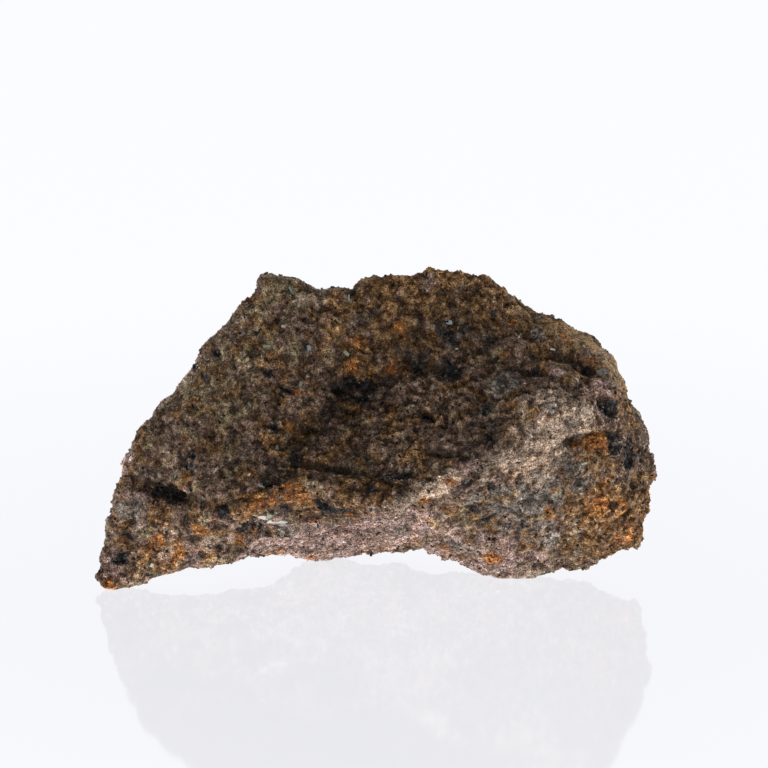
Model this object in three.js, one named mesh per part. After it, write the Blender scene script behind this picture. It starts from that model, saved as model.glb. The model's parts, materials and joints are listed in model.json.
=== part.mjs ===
// Hand specimen of granular axinite rock: one broken lump, 70 mm long, resting on three worn feet.
// Millimetres, +X along the lump from its pointed end to its blunt end, +Y towards its back, +Z up.
// The lump is built from landmarks on its fracture faces. They are joined into flat facets, covered with
// an even net of triangles, softened a little along the edges, and roughened with crumbs, ledges and pits.
import * as THREE from "three";
import { ConvexHull } from "three/addons/math/ConvexHull.js";
import { ImprovedNoise } from "three/addons/math/ImprovedNoise.js";
import { mergeVertices } from "three/addons/utils/BufferGeometryUtils.js";

// The point inside the lump from which every landmark can be seen.
const HEART = new THREE.Vector3(4, 4.5, 12.5);
// Half-lengths of the ellipsoid that the net of triangles starts from.
const NET_REACH = new THREE.Vector3(36, 15, 20);
const NET_DETAIL = 19; // an icosahedron split so has 8,000 triangles
const NET_SPREADING = 120; // passes that even out the triangles
const SWAP_EVERY = 4; // passes between two rounds of edge swaps
const SWAP_ABOVE = 1.02 * Math.PI; // two facing corners that sum to more than this have their edge swapped
const EDGE_WEAR = 2; // passes that round the fracture edges
const EDGE_KEEP = 0.8; // share of each pass that is given back, so that the lump doesn't shrink

// Unevenness of the break, as waves this far across and this high. The seeds keep them apart.
const SWELLS = { across: 8, height: 0.8, seed: 3.7 }; // the broad faces
const LUMPS = { across: 3.4, height: 0.75, seed: 11.3 }; // groups of crystals standing out
const CRUMBS = { across: 1.9, height: 0.55, seed: 23.9 }; // single large crystals, and the holes of lost ones
// Small steps of the break: how far apart and high they are, and which way they climb.
const LEDGES = { every: 5.5, drop: 0.5, uphill: new THREE.Vector3(0.62, 0.3, 0.72) };
const LEDGE_WAVER = { across: 6, height: 0.6, seed: 2.5 }; // keeps the steps from running straight
const FOOT_WEAR = 0.3; // height to which the three feet are rubbed flat
const FOOT_CALM = 2; // height from which the surface is as rough as anywhere else
const STONE = { color: 0x5b4636, roughness: 0.85 };

// Single pits and knobs, as [x, y, z, radius, height], pits having a height below zero.
const SPOT_REACH = 1.5; // how many radii a pit or knob goes out
const SPOT_STEEPNESS = 2;
const PITS_AND_KNOBS = [
  [-26.1, -4.4, 12, 2, -1.5], [-21.5, -4.5, 19.6, 1.6, -0.6], [-5.8, -4.2, 16.2, 2.4, -1.1],
  [12, -5.2, 19.4, 2.4, -1], [1.4, 2.6, 28.4, 1.8, -0.7], [8.8, 0.6, 26.7, 2, -0.8],
  [15.9, -1.4, 28.4, 1.7, -1.5], [19.5, -2.8, 27.9, 1.7, -1.6], [23.4, -0.8, 29.4, 1.4, -1],
  [28.6, -4.6, 23.7, 1.8, -1.5], [26.8, -6, 19, 2, -0.8], [17.8, 0.1, 30.4, 1.5, 1.1],
  [22.3, -2.7, 28.4, 1.5, 1], [27.7, -2.5, 27.7, 1.6, 1.2], [20.4, -10, 24.2, 2.2, 0.8],
  [15.4, -3.6, 3.8, 1.8, 0.7], [-9.7, -9.2, 15, 1.8, 0.9], [-14.2, 4.4, 38.4, 1.5, 0.7],
  [6.7, 6, 39.6, 1.5, 0.7], [8.2, -12.6, 16, 1.8, 0.7], [-1.9, 7.8, 37.2, 1.4, 0.6],
  [-2, 12.4, 22, 3, -1], [15, 12.8, 23, 2.6, -0.9], [-17, 8.5, 24, 2.4, 0.8],
  [8, 12.6, 12, 2.6, 0.8], [26, 11, 15, 2.4, -0.8], [-9, 11.5, 13, 2.2, -0.8],
];

// Landmarks, as [x, y, z], from the pointed end to the blunt end along each feature of the lump.
const TIP = [
  [-34.1, -5.6, 0], [-31.1, -4.8, 0], [-33.2, -3.2, 0], [-35.4, -4.3, 1.6], [-34.9, -4, 5.5],
  [-34, -3.5, 8.6], [-32.4, -3.4, 12.8], [-30.5, -3.6, 16.6], [-30.8, -3.4, 18.6],
];
const SLOPING_EDGE = [
  [-29, -2.2, 21], [-25.9, -0.3, 25.2], [-22.6, 1.2, 30.1], [-17.9, 2.8, 34.8], [-13.9, 4.5, 38.7],
];
const CREST = [
  [-11.4, 5, 38.3], [-8.4, 5.4, 37.8], [-6.2, 5.5, 36.5], [-3.2, 6, 36.2], [-1.9, 7.8, 37.9],
  [1, 8.3, 38.8], [3.6, 6.8, 39], [6.8, 6, 40.4], [9.8, 6, 38.9], [13, 6.4, 38.3],
];
const FALLING_EDGE = [
  [16.9, 6.8, 35.8], [18.8, 6.8, 34], [22, 6.8, 32.8], [26.3, 6.8, 31.2], [29.4, 6.3, 28.8],
  [31.5, 5.4, 25], [31.5, 4.4, 22.2],
];
const BLUNT_END = [
  [33.9, 2.6, 19], [35.2, 1.8, 14], [35.1, 1.6, 10.2], [34.6, 1.8, 7.6], [34.8, 1.8, 5.6], [33.7, 1.6, 3.8],
];
const BOTTOM_EDGE = [
  [31.2, 1.4, 3.1], [27.4, 1.2, 0.6], [21.4, 0.4, 0.4], [19.4, -0.8, 0], [19.6, 1.8, 0], [14.8, -0.7, 0],
  [15, 1.8, 0], [9.4, 5.6, 0.7], [6.2, 8.8, 1.6], [3, 9.2, 1.8], [-0.7, 9, 1.2], [-4.2, 8.8, 0.4],
  [-6.8, 7.2, 0], [-9, 8.2, 0], [-4.6, 8.8, 0], [-6.6, 10.2, 0], [-10.2, 5.4, 1.4], [-13.4, 3.6, 2.2],
  [-17, 2.4, 2], [-21.5, 0.8, 2], [-25.4, -0.2, 2], [-29.8, -3.4, 0.5],
];
const BROAD_FACE = [
  [-25.5, -4.5, 19.4], [-21.8, -7, 14.9], [-18.2, -3.2, 24.1], [-15.8, -6, 18.4], [-15.8, -0.2, 31],
  [-9.6, 1.3, 33.3], [-9.6, -1.8, 26.3], [-9.5, -3.6, 19.9],
];
const HOLLOW = [
  [-3.6, 2.5, 31.2], [-3.4, 0.8, 24.2], [-5.2, -4.6, 19.2], [1.7, 3.4, 31.8], [1, 1.6, 27.3],
  [2.9, -4.8, 21.5], [1.6, -8.4, 17.2], [-3.3, -7.2, 16.8], [9.2, 3.4, 34.2], [9.1, 0.8, 29.3],
  [9.1, -4.6, 25], [6.6, -9, 19.4], [14.1, -2, 27.6], [13.6, -7.2, 23.6],
];
const LIP = [
  [-26.1, -4.4, 12], [-21.9, -7.8, 10.6], [-17.7, -9.3, 12], [-13.8, -9.5, 14.3], [-9.9, -9, 16.4],
  [-6.3, -10.2, 15.4], [-3.3, -11.2, 14], [1, -12.2, 12.9], [5.3, -12.8, 14.2], [8.3, -13, 17],
  [12.6, -12.2, 19.8], [16, -11, 22.7], [19.8, -9.4, 25.4], [22.7, -7.8, 26.7], [27.4, -7.4, 24.1],
  [28, -7.2, 21.3],
];
const TORN_RIDGE = [
  [12.9, 1.8, 31.4], [17.5, 0, 30.9], [20.8, -3.2, 28.7], [24.5, -4.6, 26.8], [27.5, -5.2, 25.7],
  [29.1, -3, 26],
];
const TRENCH = [
  [18.9, -4.6, 27.3], [22.3, -0.8, 29.7], [26.5, -1.6, 27.3], [24.7, 0.6, 30.3], [28.4, -0.6, 27.9],
];
const BLUNT_FACE = [
  [11.5, -10, 13.1], [17.7, -8.4, 12.6], [15.4, -5.7, 6.5], [22.6, -7.8, 16.3], [24.1, -5.3, 9.2],
  [21.2, -3, 3.8], [27.7, -5.8, 17.1], [31, -2.7, 18.8], [31.9, -2.7, 13.6], [30.1, -3.2, 8.6],
  [28.2, -1.7, 4],
];
const UNDERCUT = [
  [-30.7, -5.2, 6.6], [-31, -4.8, 2.5], [-25.8, -5.2, 7.2], [-20.3, -4.7, 6.3], [-13.3, -5.7, 9],
  [-7.1, -4.7, 8], [-0.9, -3.7, 7.1], [5.4, -4.2, 7.2], [9.1, -6.2, 8],
];
const BACK_SHOULDER = [
  [-27, 3, 21], [-20.5, 6.2, 28.5], [-13.2, 8.2, 34], [-5, 9.4, 34], [3, 11.4, 33.2], [10, 11.8, 35],
  [18, 10.6, 30.5], [25, 10.8, 27], [32, 8.6, 20],
];
const BACK_SCOOP = [
  [-17, 6.9, 23.5], [-9, 8.6, 28.5], [-1, 9.2, 29], [7, 10.2, 28], [15.5, 10, 24], [22.5, 9.9, 20.5],
];
const BACK_RIB = [
  [-25, 5, 14.5], [-17, 9.6, 17], [-8, 11.4, 22.5], [0, 13.6, 22.5], [8, 13, 19.5], [15, 14, 17],
  [22.5, 12.8, 13], [29.5, 9, 10.5],
];
const BACK_FOOT = [
  [-31.8, -1.8, 5], [-23, 3.6, 6.5], [-14, 8.2, 9], [-4, 11.6, 7], [3, 11, 11], [9, 12.4, 8], [16, 9.4, 7.5],
  [24, 8.4, 5.2], [31, 4.8, 6], [-17, 4.8, 4], [1, 10.4, 3.6], [9, 8, 3.4], [14.5, 5, 3], [23, 4.6, 3],
];
const END_FACES = [[-33.2, -1.6, 10], [-31, 0, 17], [34.3, 6, 14.5], [33.7, 6.4, 19.5], [33.8, 5, 8]];
const FEATURES = [
  TIP, SLOPING_EDGE, CREST, FALLING_EDGE, BLUNT_END, BOTTOM_EDGE, BROAD_FACE, HOLLOW, LIP, TORN_RIDGE,
  TRENCH, BLUNT_FACE, UNDERCUT, BACK_SHOULDER, BACK_SCOOP, BACK_RIB, BACK_FOOT, END_FACES,
];

// Joins the landmarks into the facets that HEART sees: the hull of their directions gives the triangles.
function facetsAround(landmarks) {
  const cornerOf = new Map(landmarks.map((p) => [p.clone().normalize(), p]));
  return new ConvexHull().setFromPoints([...cornerOf.keys()]).faces.map((face) => {
    const edges = [face.edge, face.edge.next, face.edge.next.next];
    const [a, b, c] = edges.map((edge) => cornerOf.get(edge.head().point));
    const sides = [[a, b], [b, c], [c, a]].map(([p, q]) => p.clone().cross(q).normalize());
    const normal = b.clone().sub(a).cross(c.clone().sub(a));
    return { sides, normal, offset: normal.dot(a) };
  });
}

// Moves point along its own direction from HEART onto the facet whose three sides it lies furthest within.
function dropOnto(facets, point) {
  const direction = point.clone().normalize();
  let best = facets[0];
  let bestDepth = -Infinity;
  for (const facet of facets) {
    const [first, second, third] = facet.sides;
    const depth = Math.min(first.dot(direction), second.dot(direction), third.dot(direction));
    if (depth > bestDepth) {
      best = facet;
      bestDepth = depth;
    }
    if (depth > 0) break;
  }
  return direction.multiplyScalar(best.offset / best.normal.dot(direction));
}

// The middle of the triangles around each point, larger triangles counting for more.
function centresAround(points, triangles) {
  const sums = points.map(() => new THREE.Vector3());
  const areas = points.map(() => 0);
  const triangle = new THREE.Triangle();
  const middle = new THREE.Vector3();
  for (const corners of triangles) {
    triangle.set(...corners.map((i) => points[i]));
    const area = triangle.getArea();
    triangle.getMidpoint(middle);
    for (const i of corners) {
      sums[i].addScaledVector(middle, area);
      areas[i] += area;
    }
  }
  return sums.map((sum, i) => sum.divideScalar(areas[i]));
}

// Swaps the edge between two triangles wherever the other diagonal gives them better shapes.
function swapEdges(points, triangles) {
  const edges = new Map();
  const key = (i, j) => i * points.length + j;
  triangles.forEach((corners, t) => corners.forEach((i, k) => edges.set(key(i, corners[(k + 1) % 3]), t)));
  const settled = new Set();
  const angleAt = (i, j, k) => points[j].clone().sub(points[i]).angleTo(points[k].clone().sub(points[i]));
  const facing = (i, j, k) => points[j].clone().sub(points[i]).cross(points[k].clone().sub(points[i]));
  triangles.forEach((corners, t) => corners.forEach((from, k) => {
    const to = corners[(k + 1) % 3];
    const other = edges.get(key(to, from));
    if (from > to || settled.has(t) || settled.has(other)) return;
    const left = corners[(k + 2) % 3];
    const right = triangles[other].find((i) => i !== from && i !== to);
    if (edges.has(key(left, right)) || edges.has(key(right, left))) return;
    if (angleAt(left, from, to) + angleAt(right, from, to) < SWAP_ABOVE) return;
    const before = facing(from, to, left).add(facing(to, from, right));
    if (facing(from, right, left).dot(before) <= 0 || facing(right, to, left).dot(before) <= 0) return;
    triangles[t] = [from, right, left];
    triangles[other] = [right, to, left];
    settled.add(t).add(other);
  }));
}

// The outward direction at each point, from the triangles around it.
function outwardAt(points, triangles) {
  const sums = points.map(() => new THREE.Vector3());
  for (const corners of triangles) {
    const [a, b, c] = corners.map((i) => points[i]);
    const normal = b.clone().sub(a).cross(c.clone().sub(a));
    for (const i of corners) sums[i].add(normal);
  }
  return sums.map((sum) => sum.normalize());
}

const noise = new ImprovedNoise();

function wave(p, { across, height, seed }) {
  return height * noise.noise(p.x / across + seed, p.y / across - seed, p.z / across + 2 * seed);
}

// How far the surface stands out at a point of the smooth lump.
function relief(p) {
  let height = wave(p, SWELLS) + wave(p, LUMPS) + wave(p, CRUMBS);
  const climb = p.dot(LEDGES.uphill) / LEDGES.every + wave(p, LEDGE_WAVER);
  height += LEDGES.drop * (climb - Math.floor(climb) - 0.5);
  for (const [x, y, z, radius, rise] of PITS_AND_KNOBS) {
    const gap = Math.hypot(p.x - x, p.y - y, p.z - z) / radius;
    if (gap < SPOT_REACH) height += rise * Math.exp(-SPOT_STEEPNESS * gap * gap);
  }
  return height * THREE.MathUtils.smoothstep(p.z, FOOT_WEAR, FOOT_CALM);
}

// The facets, covered with an even net of triangles.
const facets = facetsAround(FEATURES.flat().map((place) => new THREE.Vector3(...place).sub(HEART)));
const ball = new THREE.IcosahedronGeometry(1, NET_DETAIL);
ball.deleteAttribute("normal");
ball.deleteAttribute("uv");
const geometry = mergeVertices(ball, 1e-4);
const { position } = geometry.attributes;
const triangles = [];
for (let i = 0; i < geometry.index.count; i += 3) {
  triangles.push([0, 1, 2].map((k) => geometry.index.getX(i + k)));
}
let points = Array.from({ length: position.count }, (_, i) =>
  dropOnto(facets, new THREE.Vector3().fromBufferAttribute(position, i).multiply(NET_REACH)));
for (let pass = 1; pass <= NET_SPREADING; pass++) {
  points = centresAround(points, triangles).map((p) => dropOnto(facets, p));
  if (pass % SWAP_EVERY === 0) swapEdges(points, triangles);
}
geometry.setIndex(triangles.flat());

// Rounds the edges: every point moves to the centre around it, then most of the way back.
for (let pass = 0; pass < EDGE_WEAR; pass++) {
  const worn = centresAround(points, triangles);
  const wornTwice = centresAround(worn, triangles);
  points = worn.map((p, i) => p.clone().addScaledVector(p.clone().sub(wornTwice[i]), EDGE_KEEP));
}
points.forEach((p) => p.add(HEART));

// The roughness of the break, with the feet rubbed flat.
const outward = outwardAt(points, triangles);
points = points.map((p, i) => p.clone().addScaledVector(outward[i], relief(p)));
for (const p of points) if (p.z < FOOT_WEAR) p.z = 0;

// The origin is under the middle of the lump, on the plane that it rests on.
const box = new THREE.Box3().setFromPoints(points);
const middle = box.getCenter(new THREE.Vector3()).setZ(0);
points.forEach((p, i) => position.setXYZ(i, ...p.sub(middle).toArray()));
const rock = new THREE.Mesh(geometry, new THREE.MeshStandardMaterial(STONE));
rock.name = "axinite_rock";
const specimen = new THREE.Group();
specimen.add(rock);

export default specimen;
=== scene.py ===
"""Axinite hand specimen: a broken lump of brown, granular rock on a pale glossy surface.

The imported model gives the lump's form. BrokenSurface lays the crystalline break over that form, each
Crust sets single crystals of one mineral into it, and Studio stands the stone in soft light. Everything
is in metres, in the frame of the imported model; sizes named in millimetres are turned into metres with MM.
"""
import json
import logging
import math
from dataclasses import dataclass, field
from enum import Enum
from typing import Any

import bmesh
import bpy
import numpy as np
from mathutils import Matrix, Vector, kdtree, noise

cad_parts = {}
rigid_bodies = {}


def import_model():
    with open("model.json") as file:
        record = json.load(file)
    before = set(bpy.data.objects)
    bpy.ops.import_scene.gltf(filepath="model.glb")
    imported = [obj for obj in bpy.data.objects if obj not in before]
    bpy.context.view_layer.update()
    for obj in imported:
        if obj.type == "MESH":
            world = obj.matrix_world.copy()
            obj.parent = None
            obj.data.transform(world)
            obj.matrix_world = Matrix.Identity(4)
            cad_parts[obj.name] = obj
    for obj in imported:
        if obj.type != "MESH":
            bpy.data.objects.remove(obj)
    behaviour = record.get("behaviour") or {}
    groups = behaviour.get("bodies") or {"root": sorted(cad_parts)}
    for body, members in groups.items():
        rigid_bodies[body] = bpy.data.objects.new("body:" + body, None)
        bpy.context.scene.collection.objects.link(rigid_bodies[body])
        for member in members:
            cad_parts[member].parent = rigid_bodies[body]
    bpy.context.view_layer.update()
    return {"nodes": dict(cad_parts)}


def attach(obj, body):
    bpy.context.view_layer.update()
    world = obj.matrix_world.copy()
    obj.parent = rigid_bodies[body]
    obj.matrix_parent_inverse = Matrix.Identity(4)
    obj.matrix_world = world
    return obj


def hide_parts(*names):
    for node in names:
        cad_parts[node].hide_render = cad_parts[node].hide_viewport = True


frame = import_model()

MM = 0.001
NODE = "axinite_rock"
BODY = "root"
LOG = logging.getLogger("specimen")

# how strong each finer layer of a material's noise is beside the one before it
LAYER_STRENGTH = 0.6
# how quickly the finer layers fade in the noise that shapes the lumps, and in the one that mottles the zones
LUMP_FADE = 0.9
MOTTLE_FADE = 0.8
# how much finer each layer of both is than the one before it, and how many there are
LAYERS = (2.0, 3)
# how far apart the zones' mottles lie in the noise, so that no two are alike
ZONE_SHIFT = 50.0
# the middle of a noise that runs from 0 to 1 along each axis
HALFWAY = (0.5, 0.5, 0.5)

# dice: what a number is multiplied by, so that the next throw has nothing to do with the last one
SHADE_DICE = 917.0
SHINE_DICE = 37.0
TILT_DICE = 31.7
LIFT_DICE = 57.3
HABIT_SEED = 101

# the surface's texture map: how many fields lie across and up, how much of half a field a side fills, how
# far a triangle may reach past its side, and the least depth that is divided by
FIELDS = (3.0, 2.0)
FIELD_FILL = 0.44
FIELD_LIMIT = 1.1
LEAST_DEPTH = 1e-6
# where the corners of a crystal's triangles lie in its own square of its map
NOOK = ((0.15, 0.15), (0.85, 0.15), (0.15, 0.85))

# a crystal's box: its corners as signs, how far they are pulled in at most, and what a wedge's thin end keeps
CORNERS = tuple(np.array([x, y, z]) for z in (1.0, -1.0) for y in (1.0, -1.0) for x in (1.0, -1.0))
MOST_PULLED = 1.6
THIN_END = 0.2

# vertices that are closer than this become one, in millimetres
WELD = 0.001
# how far the camera sees, in metres
CLEAR_VIEW = 100.0

Pair = tuple[float, float]
Point = tuple[float, float, float]
Colour = tuple[float, float, float]
Stops = tuple[tuple[float, Colour], ...]
Socket = bpy.types.NodeSocket


class Zone(Enum):
    """What a stretch of the stone is made of; the surface keeps the share of each, from 0 to 1."""

    OLIVE = "olive"
    OCHRE = "ochre"
    PINK = "pink"
    PALE = "pale"
    GREY = "grey"
    RUST = "rust"
    BLACK = "black"
    SKIN = "skin"


@dataclass(frozen=True)
class Patch:
    """A soft-edged patch of one zone.

    Attributes:
        centre: Its middle, in millimetres.
        reach: How far it goes from its middle, in millimetres.
        share: The zone's share at the middle; a negative share keeps the zone away.
    """

    centre: Point
    reach: float
    share: float = 1.0

    def share_at(self, places: np.ndarray) -> np.ndarray:
        """Works out the patch's share.

        Args:
            places: One row for each place, in millimetres.

        Returns:
            The share at each.
        """
        apart = np.linalg.norm(places - np.array(self.centre), axis=1)
        return self.share * np.exp(-(apart / self.reach) ** 2)


def patches(*rows: tuple[Any, ...]) -> tuple[Patch, ...]:
    """Makes patches.

    Args:
        *rows: The middle, the reach and the share of each; the share is 1 where it isn't given.

    Returns:
        The patches, in the same order.
    """
    return tuple(Patch(*row) for row in rows)


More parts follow.
